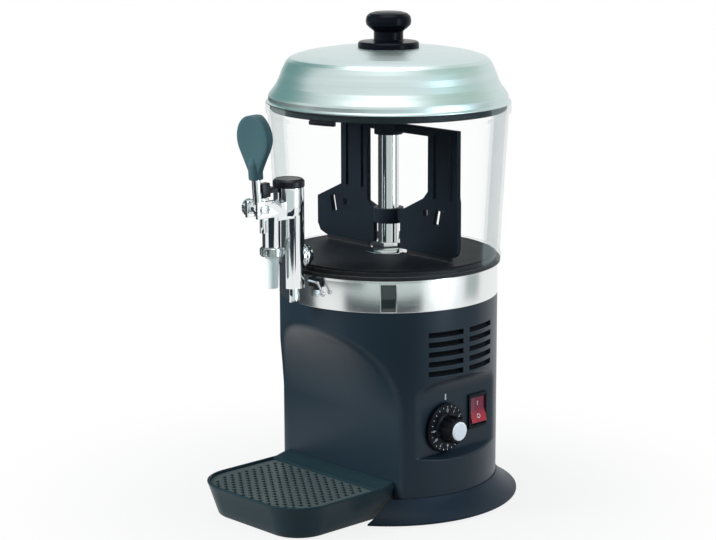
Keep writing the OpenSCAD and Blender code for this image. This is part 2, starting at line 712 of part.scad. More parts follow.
module tap_body() color("#d9dfdf") on_axis() difference() {
    union() {
        translate([0, -tap_y, inlet_z - 28]) cylinder(r = valve_d / 2, h = head_top - inlet_z + 14);
        translate([0, -head_y, block_z + 3]) cylinder(r = head_d / 2, h = head_top - block_z - 3);
        translate([-9, -spout_y, block_z]) cube([18, spout_y - head_y, 16]);
        translate([0, -spout_y, pivot_z - 37]) cylinder(r = spout_d / 2, h = 41);
        // Two cheeks that hold the lever's pin
        translate([-9, -pivot_y - 7.5, pivot_z - 8]) cube([3.4, 9 + pivot_y - spout_y, 15]);
        translate([5.6, -pivot_y - 7.5, pivot_z - 8]) cube([3.4, 9 + pivot_y - spout_y, 15]);
        // Adjusting screw under the cheeks
        translate([0, -pivot_y + 7, pivot_z - 11]) cylinder(r = 3, h = 1);
        translate([-9, -pivot_y + 5, pivot_z - 8]) cube([18, pivot_y - spout_y - 5, 4]);
        translate([0, -pivot_y + 5.4, pivot_z - 23]) cylinder(r = 2.8, h = 17);
    }
    // Valve bore, inlet port, cross passage and spout bore
    translate([0, -tap_y, inlet_z - 22]) cylinder(r = bore_r, h = bore_top - inlet_z + 22);
    rod_y(-tap_y, -tap_y + 12, 0, inlet_z, port_r);
    rod_y(-spout_y, -tap_y, 0, pivot_z - 4, 4.5);
    translate([0, -spout_y, pivot_z - 38]) cylinder(r = 5.5, h = 36);
    rod_x(-10, 10, -pivot_y, pivot_z, 2.5 + run);
    // Threaded hole for the plug under the column
    translate([0, -tap_y, inlet_z - 29]) cylinder(r = 3.1, h = 10);
}

module tap_plug() color("#cfd6d6") on_axis() translate([0, -tap_y, 0]) {
    translate([0, 0, inlet_z - 42]) cylinder(r1 = 4.4, r2 = 5.3, h = 1.4);
    translate([0, 0, inlet_z - 40.6]) cylinder(r = 5.3, h = 12.5);
    translate([0, 0, inlet_z - 28.1]) cylinder(r = 3, h = 5);
}

module tap_cap() color("#15171c") on_axis() translate([0, -head_y, head_top + seat]) {
    cylinder(r = head_d / 2 + 0.6, h = 6);
    translate([0, 0, 6]) cylinder(r1 = head_d / 2 + 0.6, r2 = head_d / 2 - 1.2, h = 1.8);
}

module spout_nut() color("#8d9594") on_axis() translate([0, -spout_y, pivot_z - 45.2])
    difference() {
        union() {
            cylinder(r = spout_d / 2 + 1.7, h = 8.1);
            for (i = [0 : 11]) rotate([0, 0, 30 * i]) translate([spout_d / 2 + 1, -1, 1])
                cube([1.4, 2, 6]);
        }
        translate([0, 0, -through]) cylinder(r = 6.6, h = 12);
    }

module spout_nozzle() color("#dfe8e2") on_axis() translate([0, -spout_y, 0]) difference() {
    union() {
        translate([0, 0, pivot_z - 46]) cylinder(r = 6.5, h = 8.8);
        translate([0, 0, pivot_z - 75]) cylinder(r1 = 5.2, r2 = 6.5, h = 29);
    }
    translate([0, 0, pivot_z - 76]) cylinder(r = 4.2, h = 40);
}

// Plunger with a sealing piston that covers the inlet port
module valve_plunger() color("#34383c") on_axis() translate([0, -tap_y, 0]) {
    // The stop under the head leaves room for the lift
    stop = bore_top - plunger_lift - 1;
    translate([0, 0, inlet_z - 7]) cylinder(r = bore_r - 0.08, h = 14);
    translate([0, 0, inlet_z + 7]) cylinder(r = 2.5, h = stop - inlet_z - 7);
    translate([0, 0, stop - 4]) cylinder(r = 5, h = 4);
}

module pivot_pin() color("#c4cacb") on_axis() {
    rod_x(-16, 9.2, -pivot_y, pivot_z, 2.5);
    rod_x(9.1, 11.6, -pivot_y, pivot_z, 4.6);
}

// Knurled nut at the pin's end
module pivot_nut() color("#dfe3e2") on_axis() difference() {
    union() {
        rod_x(-15, -9.2, -pivot_y, pivot_z, 7.4);
        for (i = [0 : 17]) translate([-14.4, -pivot_y, pivot_z]) rotate([20 * i, 0, 0])
            translate([0, -0.6, 0]) cube([4.6, 1.2, 8]);
    }
    rod_x(-20, -8, -pivot_y, pivot_z, 2.5 + run);
}

module lever_stem() color("#bfc7c8") on_axis() difference() {
    union() {
        rod_x(-5.3, 5.3, -pivot_y, pivot_z, 6);
        translate([0, -pivot_y, pivot_z]) rotate([paddle_lean, 0, 0]) cylinder(r = 4.1, h = 40);
    }
    rod_x(-7, 7, -pivot_y, pivot_z, 2.5 + run);
}

// Black tongue behind the stem that reaches back to the valve's head
module lever_link() color("#1a1d22") on_axis() difference() {
    translate([0, -pivot_y, pivot_z]) rotate([paddle_lean, 0, 0]) {
        translate([-3.6, 4.2, 9]) cube([7.2, 9, 13]);
        translate([-3.6, 4.2, 12]) cube([7.2, 16 - paddle_lean * 0.2, 5]);
    }
    translate([0, -head_y, 0]) cylinder(r = head_d / 2 + 1, h = 2 * pivot_z);
}

// Spoon-shaped paddle, thick at its edge and slightly dished in front
module lever_paddle() color("#2a363c") on_axis()
    translate([0, -pivot_y, pivot_z]) rotate([paddle_lean, 0, 0]) difference() {
        r = paddle_w / 2;
        low = 8;
        top = 85;
        low_z = 36;
        lean = asin((r - low) / (top - r - low_z));
        union() {
            rotate([90, 0, 0]) linear_extrude(paddle_t, center = true) {
                translate([0, top - r]) circle(r);
                translate([0, low_z]) circle(low);
                polygon([[r * cos(lean), top - r - r * sin(lean)],
                    [low * cos(lean), low_z - low * sin(lean)],
                    [-low * cos(lean), low_z - low * sin(lean)],
                    [-r * cos(lean), top - r - r * sin(lean)]]);
            }
            // Collar around the stem that runs out in the paddle
            translate([0, 0, 27]) cylinder(r = 6.6, h = 14);
            translate([0, 0, 41]) cylinder(r1 = 6.6, r2 = 2.5, h = 8);
        }
        // Socket for the stem and the dished face
        translate([0, 0, 20]) cylinder(r = 4.1 + run, h = 20 + run);
        translate([0, -paddle_t / 2 - 88, top - r]) sphere(90);
    }

// ---- Lid ----

// Width of the lid's black ring, and the angles that the tab under it covers
seal_w = 3;
tab_from = -85;
tab_arc = 14.5;

// Outer profile of the lid from its rim to the middle, as radius and height
lid_r = lid_d / 2;
lid_profile = [
    [lid_r, z_lid + 1.5], [lid_r, z_lid + 6.2], [lid_r - 0.7, z_lid + 8.2],
    [lid_r - 3.9, z_lid + 12.4], [lid_r - 7.6, z_lid + 17.7], [lid_r - 10.3, z_lid + 23.7],
    [lid_r - 12.3, z_lid + 29.3], [lid_r - 14.7, z_top - 16.2], [lid_r - 17.3, z_top - 11.6],
    [lid_r - 20.4, z_top - 8.8], [lid_r - 25.5, z_top - 6.9], [lid_r - 32.6, z_top - 4.8],
    [lid_r - 51.5, z_top - 1.6], [lid_r - 73, z_top], [0, z_top]];

module lid_shell() color("#b9cdcb") on_axis() difference() {
    inside = [for (i = [len(lid_profile) - 1 : -1 : 0])
        [max(lid_profile[i][0] - lid_t, 0), lid_profile[i][1] - lid_t]];
    flange_in = min(lid_r - 3.4, rim_in - seal_w);
    flange_out = max(lid_r + 2.5, rim_r - 0.4);
    rotate_extrude() polygon(concat(
        [[flange_in, z_lid], [flange_out, z_lid], [flange_out, z_lid + lid_t - 0.3],
            [lid_r + 1, z_lid + 1.5]],
        lid_profile,
        [for (p = inside) if (p[1] > z_lid + 1.4) p],
        [[lid_r - lid_t, z_lid + lid_t], [flange_in, z_lid + lid_t]]));
    translate([0, 0, z_top - 10]) cylinder(r = 3.2, h = 20);
}

// Black ring under the lid's rim that centres the lid in the bowl
module lid_seal() color("#1d262a") on_axis()
    rotate_extrude() polygon([[rim_in - seal_w, z_rim - 6.6], [rim_in - 1.2, z_rim - 6.6],
        [rim_in - gap, z_rim - 5.4], [rim_in - gap, z_lid - seat],
        [rim_in - seal_w, z_lid - seat]]);

// Tab under the rim that stops the lid turning
module lid_tab() color("#14171a") on_axis() {
    back = rim_in - seal_w - seat;
    sector(back - 3.3, back, z_rim - 11, z_lid - seat, tab_from, tab_arc);
    sector(back - 3.3, rim_in - 1.8, z_rim - 11, z_rim - 7, tab_from, tab_arc);
}

module lid_knob() color("#0c1116") on_axis() difference() {
    r = knob_d / 2;
    top = z_top + knob_h;
    neck = 13.9;
    rotate_extrude() polygon([[0, z_top], [28.8, z_top], [28.8, z_top + 4.6],
        [27.6, z_top + 5.8], [neck + 1.2, z_top + 6.2], [neck, z_top + 7.4], [neck, top - 18.6],
        [r - 3.4, top - 15.6], [r - 0.8, top - 13], [r, top - 10.6], [r, top - 7.4],
        [r - 1, top - 4.6], [r - 3.2, top - 2.2], [r - 7, top - 0.7], [r - 12, top], [0, top]]);
    translate([0, 0, z_top - through]) cylinder(r = 2.5 + run, h = 16);
}

module knob_screw() color("#b9bdc0") on_axis() difference() {
    union() {
        translate([0, 0, z_top - lid_t - 1.2 - seat]) cylinder(r = 9, h = 1.2);
        translate([0, 0, z_top - lid_t - 4.6]) cylinder(r1 = 3.6, r2 = 4.8, h = 3.4);
        translate([0, 0, z_top - lid_t - 1.2]) cylinder(r = 2.5, h = 16);
    }
    for (t = [0, 90]) rotate([0, 0, t]) translate([-2.6, -0.6, z_top - lid_t - 5.2])
        cube([5.2, 1.2, 2.4]);
}

// ---- Drip tray ----

tray_low = 1;
tray_back = slot_back + 2;
tray_wall = 2.6;
grille_seat_z = tray_h - 5.2;
grille_back = 86;

// Plan of the tray, drawn inwards by a distance, with rounded front corners
module tray_plan(inset, back = tray_back) {
    w = tray_w / 2 - inset;
    r = max(tray_corner_r - inset, 4);
    front = tray_reach - inset;
    translate([-w, -front + r]) square([2 * w, front - r - back]);
    translate([-w + r, -front]) square([2 * (w - r), front - back]);
    for (x = [-w + r, w - r]) translate([x, -front + r]) circle(r, $fn = 64);
}

// Basin shape between two heights, leaning in towards the bottom
module tray_basin(low, high, inset, back) hull() {
    lean = tray_draft * (tray_h - low) / tray_h;
    translate([0, 0, high - 0.5]) linear_extrude(0.5) tray_plan(inset, back);
    translate([0, 0, low]) linear_extrude(0.5) tray_plan(inset + lean, back);
}

module drip_tray() color("#2c393e") on_axis() difference() {
    tray_basin(tray_low, tray_h, 0, tray_back);
    // Basin under the grille and under the deck behind it
    tray_basin(tray_low + 2.4, tray_h - 2.6, tray_wall + 2.2, tray_back + tray_wall);
    // Open top with the grille's seat around it
    translate([0, 0, grille_seat_z]) linear_extrude(20) tray_plan(tray_wall, grille_back);
    translate([0, 0, grille_seat_z - 4]) linear_extrude(20)
        tray_plan(tray_wall + 3.4, grille_back + 3);
}

module drip_grille() color("#3c484d") on_axis()
    translate([0, 0, grille_seat_z + gap]) linear_extrude(2.4) difference() {
        half_x = tray_w / 2 - tray_wall - 9;
        front = tray_reach - tray_wall - 12;
        cols = floor(half_x / grille_step_x);
        rows = floor((front - grille_back - 6) / grille_step_y);
        tray_plan(tray_wall + 0.4, grille_back + 0.4);
        for (j = [0 : 2 * rows], i = [-cols : cols]) {
            x = i * grille_step_x + (j % 2) * grille_step_x / 2;
            y = -grille_back - 8 - j * grille_step_y / 2;
            corner = tray_w / 2 - tray_wall - tray_corner_r;
            reach = norm([max(abs(x) - corner, 0), max(-y - tray_reach + tray_wall
                + tray_corner_r, 0)]);
            if (abs(x) < half_x && reach < tray_corner_r - 8)
                translate([x, y]) square(grille_hole, center = true);
        }
    }

housing();
base_ring();
base_plate();
rubber_feet();
base_screws();
vent_louvres();
steel_band();
window_pane();
window_frame();
water_tank();
heating_element();
heated_plate();
plate_seal();
gear_motor();
motor_bridge();
thermostat();
dial_nut();
dial_spindle();
dial_knob();
dial_cap();
switch_case();
switch_rocker();
cable_gland();
gland_nut();
bowl();
bowl_latch();
latch_hook();
column_tube();
column_nut();
shaft_bushing();
drive_shaft();
stirrer_frame();
stirrer_wiper();
inlet_gasket();
tap_inlet();
tap_body();
tap_plug();
tap_cap();
spout_nut();
spout_nozzle();
valve_plunger();
pivot_pin();
pivot_nut();
lever_stem();
lever_link();
lever_paddle();
lid_shell();
lid_seal();
lid_tab();
lid_knob();
knob_screw();
drip_tray();
drip_grille();
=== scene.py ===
from collections import namedtuple
from math import asin, atan2, copysign, cos, degrees, pi, radians, sin, sqrt, tan

import bmesh
import bpy
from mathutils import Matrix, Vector


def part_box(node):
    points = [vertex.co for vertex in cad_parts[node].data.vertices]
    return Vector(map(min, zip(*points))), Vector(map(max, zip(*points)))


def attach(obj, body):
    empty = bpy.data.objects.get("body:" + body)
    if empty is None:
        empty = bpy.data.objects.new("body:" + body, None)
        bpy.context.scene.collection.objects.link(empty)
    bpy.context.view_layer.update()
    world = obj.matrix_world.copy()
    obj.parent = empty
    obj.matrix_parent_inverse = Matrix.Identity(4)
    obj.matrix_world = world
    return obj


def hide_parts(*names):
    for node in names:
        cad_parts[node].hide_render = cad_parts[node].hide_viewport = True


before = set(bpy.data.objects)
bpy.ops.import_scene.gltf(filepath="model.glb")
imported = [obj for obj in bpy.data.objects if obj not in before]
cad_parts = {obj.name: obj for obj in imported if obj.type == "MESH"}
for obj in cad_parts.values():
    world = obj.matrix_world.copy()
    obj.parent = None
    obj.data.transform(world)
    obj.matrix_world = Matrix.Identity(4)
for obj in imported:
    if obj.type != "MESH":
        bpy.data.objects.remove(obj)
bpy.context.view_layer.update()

# ---------------------------------------------------------------- camera
# The photograph was taken with a long lens, a little above the machine and from its front right.
# The studio is in metres. The machine's pieces are drawn in millimetres from the bowl's axis on
# the counter, and make() turns them to metres.
Box = namedtuple("Box", "x0 y0 z0 x1 y1 z1")
bowl_low, bowl_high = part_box("bowl")
axis = Vector(((bowl_low.x + bowl_high.x) / 2, (bowl_low.y + bowl_high.y) / 2, 0))


def around(node):
    """A CAD node's box in millimetres from the bowl's axis on the counter."""
    low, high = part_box(node)
    return Box(*((low - axis) * 1000), *((high - axis) * 1000))


camera_azimuth = -44
camera_tilt = 78.32
camera_from_bowl = Vector((1.4052, -1.3570, 0.62125))
lens = bpy.data.cameras.new("long_lens")
lens.lens = 104.5
lens.sensor_width = 36
lens.shift_x = -0.0426
lens.clip_end = 50
camera = bpy.data.objects.new("camera", lens)
camera.location = axis + camera_from_bowl
camera.rotation_euler = (radians(camera_tilt), 0, radians(90 + camera_azimuth))
bpy.context.scene.collection.objects.link(camera)
bpy.context.scene.camera = camera
bpy.context.scene.view_settings.view_transform = "Standard"


# ---------------------------------------------------------------- studio
# A plain white sweep with broad lamps at the left, right, back and top, and grey cards that only
# reflections see. The floor and the sky show white to the camera, in metal and through glass, and
# the floor keeps a soft shadow.
class Wire:
    """A shader socket that adds Math nodes when it is used in a sum."""

    def __init__(self, finish, socket):
        self.finish = finish
        self.socket = socket

    def maths(self, operation, *values):
        return self.finish.add("ShaderNodeMath", {"operation": operation}, dict(enumerate(values)))

    def __add__(self, other):
        return self.maths("ADD", self, other)

    def __mul__(self, other):
        return self.maths("MULTIPLY", self, other)

    def __sub__(self, other):
        return self.maths("SUBTRACT", self, other)

    def __rsub__(self, other):
        return self.maths("SUBTRACT", other, self)

    def __gt__(self, other):
        return self.maths("GREATER_THAN", self, other)

    def __lt__(self, other):
        return self.maths("LESS_THAN", self, other)

    __radd__ = __add__
    __rmul__ = __mul__


class Finish:
    """A material, or the world, whose nodes are all added by one method."""

    def __init__(self, name, owner=None):
        self.owner = owner or bpy.data.materials.new(name)
        self.owner.use_nodes = True
        self.tree = self.owner.node_tree
        self.tree.nodes.clear()

    def add(self, kind, settings=None, inputs=None, output=0):
        node = self.tree.nodes.new(kind)
        for key, value in (settings or {}).items():
            setattr(node, key, value)
        for key, value in (inputs or {}).items():
            if isinstance(value, Wire):
                self.tree.links.new(value.socket, node.inputs[key])
            else:
                node.inputs[key].default_value = value
        return Wire(self, node.outputs[output]) if node.outputs else None

    def place(self, scale=(1, 1, 1)):
        """Object coordinates, stretched along each axis."""
        spot = self.add("ShaderNodeTexCoord", output="Object")
        return self.add("ShaderNodeMapping", {}, {"Vector": spot, "Scale": scale})

    def noise(self, scale, detail=3, stretch=(1, 1, 1)):
        return self.add("ShaderNodeTexNoise", {}, {"Vector": self.place(stretch), "Scale": scale,
                                                   "Detail": detail})

    def blend(self, factor, first, second):
        """A colour between two colours or links."""
        return self.add("ShaderNodeMix", {"data_type": "RGBA"}, {0: factor, 6: first, 7: second}, 2)

    def bump(self, height, distance, strength=1.0):
        return self.add("ShaderNodeBump", {}, {"Height": height, "Distance": distance,
                                               "Strength": strength})

    def surface(self, **sockets):
        """The Principled surface and the output; a socket's underscores are spaces."""
        inputs = {key.replace("_", " "): value for key, value in sockets.items()}
        return self.show(self.add("ShaderNodeBsdfPrincipled", {}, inputs))

    def show(self, shader):
        self.add("ShaderNodeOutputMaterial", {}, {"Surface": shader})
        return self.owner


class Pattern(Finish):
    """A Geometry Nodes tree with named inputs; its result is realized and given a finish."""

    def __init__(self, name, **sizes):
        self.tree = bpy.data.node_groups.new(name, "GeometryNodeTree")
        face = self.tree.interface
        face.new_socket("Unit", in_out="INPUT", socket_type="NodeSocketGeometry")
        for key, kind in sizes.items():
            face.new_socket(key, in_out="INPUT", socket_type="NodeSocket" + kind)
        face.new_socket("Finish", in_out="INPUT", socket_type="NodeSocketMaterial")
        face.new_socket("Made", in_out="OUTPUT", socket_type="NodeSocketGeometry")

    def given(self, key):
        return self.add("NodeGroupInput", output=key)

    def made(self, geometry):
        whole = self.add("GeometryNodeRealizeInstances", {}, {"Geometry": geometry})
        dressed = self.add("GeometryNodeSetMaterial", {}, {"Geometry": whole,
                                                           "Material": self.given("Finish")})
        self.add("NodeGroupOutput", {}, {"Made": dressed})

    def on(self, piece, values):
        """The modifier on a piece, its inputs set by their sockets' identifiers."""
        modifier = piece.modifiers.new("pattern", "NODES")
        modifier.node_group = self.tree
        for item in self.tree.interface.items_tree:
            if item.in_out == "INPUT" and item.name in values:
                modifier[item.identifier] = values[item.name]


def seen_white(finish):
    """1 for the rays that should meet plain white: from the camera, off metal and through glass."""
    rays = [finish.add("ShaderNodeLightPath", output=name)
            for name in ("Is Camera Ray", "Is Glossy Ray", "Is Transmission Ray")]
    return rays[0].maths("MAXIMUM", rays[0], rays[1].maths("MAXIMUM", rays[1], rays[2]))


world = bpy.data.worlds.new("studio")
bpy.context.scene.world = world
sky = Finish("sky", world)
room = sky.add("ShaderNodeBackground", {}, {"Color": (0.8, 0.88, 0.95, 1), "Strength": 0.16})
white = sky.add("ShaderNodeBackground", {}, {"Color": (1, 1, 1, 1), "Strength": 1.0})
sky.add("ShaderNodeOutputWorld", {}, {"Surface": sky.add(
    "ShaderNodeMixShader", {}, {0: seen_white(sky), 1: room, 2: white})})

floor_finish = Finish("floor_white")
paper = floor_finish.add("ShaderNodeBsdfDiffuse", {}, {"Color": (0.32, 0.33, 0.34, 1)})
glow = floor_finish.add("ShaderNodeEmission", {}, {"Color": (1, 1, 1, 1), "Strength": 1.0})
floor_spot = floor_finish.add("ShaderNodeTexCoord", output="Object")
outwards = floor_finish.add("ShaderNodeVectorMath", {"operation": "LENGTH"}, {0: floor_spot},
                            "Value")
shadow_near, shadow_far, shadow_white = 0.10, 0.42, 0.86
clean_white = floor_finish.add("ShaderNodeMapRange", {"interpolation_type": "SMOOTHSTEP"}, {
    0: outwards, 1: shadow_near, 2: shadow_far, 3: shadow_white, 4: 1.0})
floor_finish.show(floor_finish.add("ShaderNodeMixShader", {}, {
    0: seen_white(floor_finish) * clean_white, 1: paper, 2: glow}))


def studio_sheet(name, corners, paint):
    """A flat sheet that belongs to the studio and not to the machine."""
    mesh = bpy.data.meshes.new(name)
    mesh.from_pydata(corners, [], [(0, 1, 2, 3)])
    mesh.materials.append(paint)
    sheet = bpy.data.objects.new(name, mesh)
    bpy.context.scene.collection.objects.link(sheet)
    return sheet


floor_half = 6
studio_sheet("floor", [(-floor_half, -floor_half, 0), (floor_half, -floor_half, 0),
                       (floor_half, floor_half, 0), (-floor_half, floor_half, 0)],
             floor_finish.owner)


def lamp(name, place, aim, width, height, power, colour=(1, 1, 1), mirrored=True, lights=True):
    """A broad lamp; it may be left out of reflections, or only be seen in them."""
    light = bpy.data.lights.new(name, "AREA")
    light.shape = "RECTANGLE"
    light.size = width
    light.size_y = height
    light.energy = power
    light.color = colour
    stand = bpy.data.objects.new(name, light)
    stand.location = place
    stand.rotation_euler = (Vector(aim) - Vector(place)).to_track_quat("-Z", "Y").to_euler()
    stand.visible_glossy = mirrored
    stand.visible_diffuse = lights
    bpy.context.scene.collection.objects.link(stand)


lamp("key_left", (-1.2, -1.9, 1.3), (0, 0, 0.2), 0.9, 1.4, 96, mirrored=False)
lamp("strip_right", (0.73, 0.17, 0.36), (0.1, 0.03, 0.25), 0.16, 0.62, 2.6, (0.62, 0.82, 1),
     lights=False)
lamp("fill_right", (2.2, 0.2, 0.7), (0, 0, 0.2), 0.8, 1.0, 20, (0.70, 0.86, 1), mirrored=False)
lamp("edge_right", (0.5, 2.0, 0.8), (0, 0, 0.2), 0.6, 1.4, 26, (0.9, 0.97, 1), mirrored=False)
lamp("overhead", (0.1, -0.2, 2.4), (0, 0, 0.3), 1.4, 1.4, 18)


def card(name, middle, azimuth, width, low, high, tone):
    """A grey studio card on its stand that only reflections see; azimuth is from the camera's."""
    toward = radians(azimuth + camera_azimuth)
    along = Vector((-sin(toward), cos(toward), 0)) * width / 2
    foot = Vector((*middle, 0)) + axis
    bottom, top = Vector((0, 0, low)), Vector((0, 0, high))
    paint = Finish(name)
    lit = paint.add("ShaderNodeEmission", {}, {"Color": (*tone, 1), "Strength": 1.0})
    sheet = studio_sheet(name, [foot - along + bottom, foot + along + bottom, foot + along + top,
                                foot - along + top], paint.show(lit))
    sheet.visible_camera = sheet.visible_diffuse = False
    sheet.visible_transmission = sheet.visible_shadow = False


def polar(distance, azimuth):
    """A place on the floor at a distance from the bowl's axis, azimuth from the camera's."""
    toward = radians(azimuth + camera_azimuth)
    return distance * cos(toward), distance * sin(toward)


card("card_front", polar(0.75, -5.5), -5.5, 1.2, 0.001, 0.45, (0.63, 0.71, 0.70))
card("card_low", polar(0.45, -5), -5, 0.7, 0.001, 0.125, (0.02, 0.03, 0.04))
card("card_right", polar(0.8, 92), 92, 0.3, 0.001, 0.6, (0.40, 0.45, 0.45))
card("card_left_high", polar(0.9, -125), -125, 0.86, 0.42, 2.0, (0.15, 0.34, 0.33))
card("card_right_high", polar(0.9, 85), 85, 1.3, 0.75, 2.2, (0.55, 0.68, 0.60))
card("card_tap", (0.005, -0.42), -45, 0.35, 0.19, 0.38, (0.03, 0.04, 0.05))
card("card_tap_left", (-0.24, -0.15), -130, 0.5, 0.02, 0.38, (0.05, 0.06, 0.07))


# ---------------------------------------------------------------- housing
# The body is one moulding of black ABS: a thin round shell with the flat front recess that runs
# out in a crown, the control panel's recess, the tray's slot and two pairs of vent columns.
def rounded(outline, radius, steps=4, closed=True):
    """An outline whose corners are arcs; radius is one size, or one for each point."""
    tiny, nearly_straight, most_of_side = 1e-6, pi / 2 - 0.02, 0.45
    count = len(outline)
    sizes = radius if isinstance(radius, (list, tuple)) else [radius] * count
    points = []
    for i, (here, size) in enumerate(zip(outline, sizes)):
        here = Vector(here)
        back = Vector(outline[i - 1]) - here
        on = Vector(outline[(i + 1) % count]) - here
        end = not closed and i in (0, count - 1)
        side = min(back.length, on.length)
        if end or size <= 0 or side < tiny or back.angle(on) / 2 > nearly_straight:
            points.append(tuple(here))
            continue
        cut = min(size / max(tan(back.angle(on) / 2), 1e-3), side * most_of_side)
        first = here + back.normalized() * cut
        last = here + on.normalized() * cut
        for k in range(steps + 1):
            t = k / steps
            points.append(tuple(first * (1 - t) ** 2 + here * 2 * t * (1 - t) + last * t ** 2))
    return points


def join(*shapes):
    """Several (vertices, faces) shapes as one."""
    verts, faces = [], []
    for more_verts, more_faces in shapes:
        faces += [tuple(i + len(verts) for i in face) for face in more_faces]
        verts += more_verts
    return verts, faces


def make(name, shape, finish, body, stands_for=(), sharp=35, modifiers=(),
         pattern=None, sizes=None):
    """Builds a piece in metres at its place, closes its seams and turns its faces outwards.
    A pattern takes the shape as drawn, and places it by its own sizes."""
    mesh = bpy.data.meshes.new(name)
    origin = Vector() if pattern else axis
    mesh.from_pydata([Vector(v) * 0.001 + origin for v in shape[0]], [], shape[1])
    clean = bmesh.new()
    clean.from_mesh(mesh)
    bmesh.ops.remove_doubles(clean, verts=clean.verts, dist=2e-6)
    bmesh.ops.dissolve_degenerate(clean, edges=clean.edges, dist=1e-6)
    bmesh.ops.recalc_face_normals(clean, faces=clean.faces)
    clean.to_mesh(mesh)
    clean.free()
    piece = bpy.data.objects.new(name, mesh)
    bpy.context.scene.collection.objects.link(piece)
    mesh.materials.append(finish)
    for kind, settings in modifiers:
        modifier = piece.modifiers.new(kind, kind)
        for key, value in settings.items():
            setattr(modifier, key, value)
    if pattern:
        pattern.on(piece, {**sizes, "Finish": finish})
    if piece.modifiers:
        depsgraph = bpy.context.evaluated_depsgraph_get()
        piece.data = bpy.data.meshes.new_from_object(piece.evaluated_get(depsgraph))
        piece.modifiers.clear()
    piece.data.polygons.foreach_set("use_smooth", [True] * len(piece.data.polygons))
    piece.data.set_sharp_from_angle(angle=radians(sharp))
    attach(piece, body)
    if stands_for:
        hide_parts(*stands_for)


def skin(outlines, whole=False):
    """Walls from each closed outline to the next; a run that doesn't close gets end faces."""
    runs, count = len(outlines), len(outlines[0])
    faces = []
    for k in range(runs if whole else runs - 1):
        here, there = k * count, (k + 1) % runs * count
        for i in range(count):
            j = (i + 1) % count
            faces.append((here + i, here + j, there + j, there + i))
    if not whole:
        faces += [tuple(range(count)), tuple(range((runs - 1) * count, runs * count))]
    return [point for outline in outlines for point in outline], faces


def turned(outline, segments=128, at=(0, 0, 0), along="Z", start=0, span=360):
    """A closed outline of (radius, height) turned about an axis, right round or in part."""
    whole = span >= 360
    outlines = []
    for k in range(segments if whole else segments + 1):
        a = radians(start + span * k / segments)
        points = [(r * cos(a), r * sin(a), h) for r, h in outline]
        if along == "X":
            points = [(z, x, y) for x, y, z in points]
        outlines.append([(x + at[0], y + at[1], z + at[2]) for x, y, z in points])
    return skin(outlines, whole)


def moulded_black(name, colour, grain_scale, grain_depth, roughness, shine=0.10):
    """Moulded black plastic: fine spark-eroded grain, faint flow marks and rubbed patches."""
    finish = Finish(name)
    grain = finish.noise(grain_scale, 4)
    patches = finish.noise(22, 3)
    flow = finish.noise(9, 5, (1, 1, 0.25))
    tint = finish.blend(flow, (*colour, 1), (*[c * 1.35 + 0.002 for c in colour], 1))
    return finish.surface(Base_Color=tint, Roughness=roughness + (patches - 0.5) * 0.16,
                          Normal=finish.bump(grain, grain_depth, 0.5), IOR=1.5,
                          Specular_IOR_Level=shine)


body = around("housing")
body_r = body.x1 if body.x1 > -body.x0 else -body.x0
wall = 3.0
slot_half = 75.3
slot_top = 33.5
recess_flat = 65.0
recess_arc = 105.0
recess_bend = 95.0
recess_top = 182.0
recess_span = 52.0
panel_x = around("dial_nut").x0 - 0.1
panel_arc = 18.7
panel_arc_z = 115.2
panel_sill = around("dial_knob").z0 - 1.0
sill_slope = 0.31
panel_span = 30.0
edge_softness = 7.0
panel_softness = 2.5
vent_sides = (0, 90)
vent_rows = 5
vent_low = 136.4
vent_pitch = 9.2
vent_height = 5.0
vent_half_bar = 2.2
vent_arc = 21.0


def soften_min(a, b, softness):
    """The lesser of two radii, eased where they cross, so the edge between them is rounded."""
    near = max(softness - abs(a - b), 0) / softness
    return min(a, b) - near * near * softness / 4


def housing_radius(angle, z):
    """Distance of the housing's outer face from the bowl's axis, at an angle from +X."""
    radius = body_r
    front = -sin(angle)
    if front > 0.05:
        rise = max(z - recess_bend, 0)
        depth = recess_flat
        if rise > 0:
            depth += recess_arc - sqrt(max(recess_arc ** 2 - rise ** 2, 0))
        radius = soften_min(radius, depth / front, edge_softness)
    side = cos(angle)
    if side > 0.5:
        reach = 2 * body_r
        if z < panel_sill:
            reach = panel_x + (panel_sill - z) / sill_slope
        elif z < panel_arc_z:
            reach = panel_x
        elif z < panel_arc_z + panel_arc:
            reach = panel_x + panel_arc - sqrt(panel_arc ** 2 - (z - panel_arc_z) ** 2)
        radius = soften_min(radius, reach / side, panel_softness)
    return radius


def grid_lines(stops, exact):
    """Grid lines with a step of their own after each stop, and on the lines that must be met."""
    closest = 0.35
    lines = []
    for (low, step), (high, _) in zip(stops, stops[1:]):
        count = max(round((high - low) / step), 1)
        lines += [low + (high - low) * k / count for k in range(count)]
    lines.append(stops[-1][0])
    lines = [v for v in lines if all(abs(v - e) > closest for e in exact)]
    return sorted(set(lines) | set(exact))


slot_angle = degrees(atan2(recess_flat, slot_half))
vent_edges = [centre + side * edge for centre in vent_sides
              for side in (-1, 1) for edge in (vent_half_bar, vent_half_bar + vent_arc)]
vent_levels = [vent_low + i * vent_pitch + up for i in range(vent_rows) for up in (0, vent_height)]
angles = grid_lines([(-90 - recess_span, 0.7), (-90 + recess_span, 0.9), (panel_span, 3),
                     (270 - recess_span, 3)], vent_edges + [-slot_angle, slot_angle - 180])[:-1]
levels = grid_lines([(body.z0, 4), (panel_sill - 6, 0.4), (panel_sill + 1, 2.5),
                     (recess_bend, 1.2), (recess_top, 3), (body.z1, 3)],
                    vent_levels + [slot_top, body.z0, body.z1])


def is_open(angle, z):
    """True in the middle of a vent slot or of the tray's slot."""
    if z < slot_top and -180 + slot_angle < angle < -slot_angle:
        return True
    in_row = any(low < z < low + vent_height for low in vent_levels[::2])
    return in_row and any(vent_half_bar < abs(angle - centre) < vent_half_bar + vent_arc
                          for centre in vent_sides)


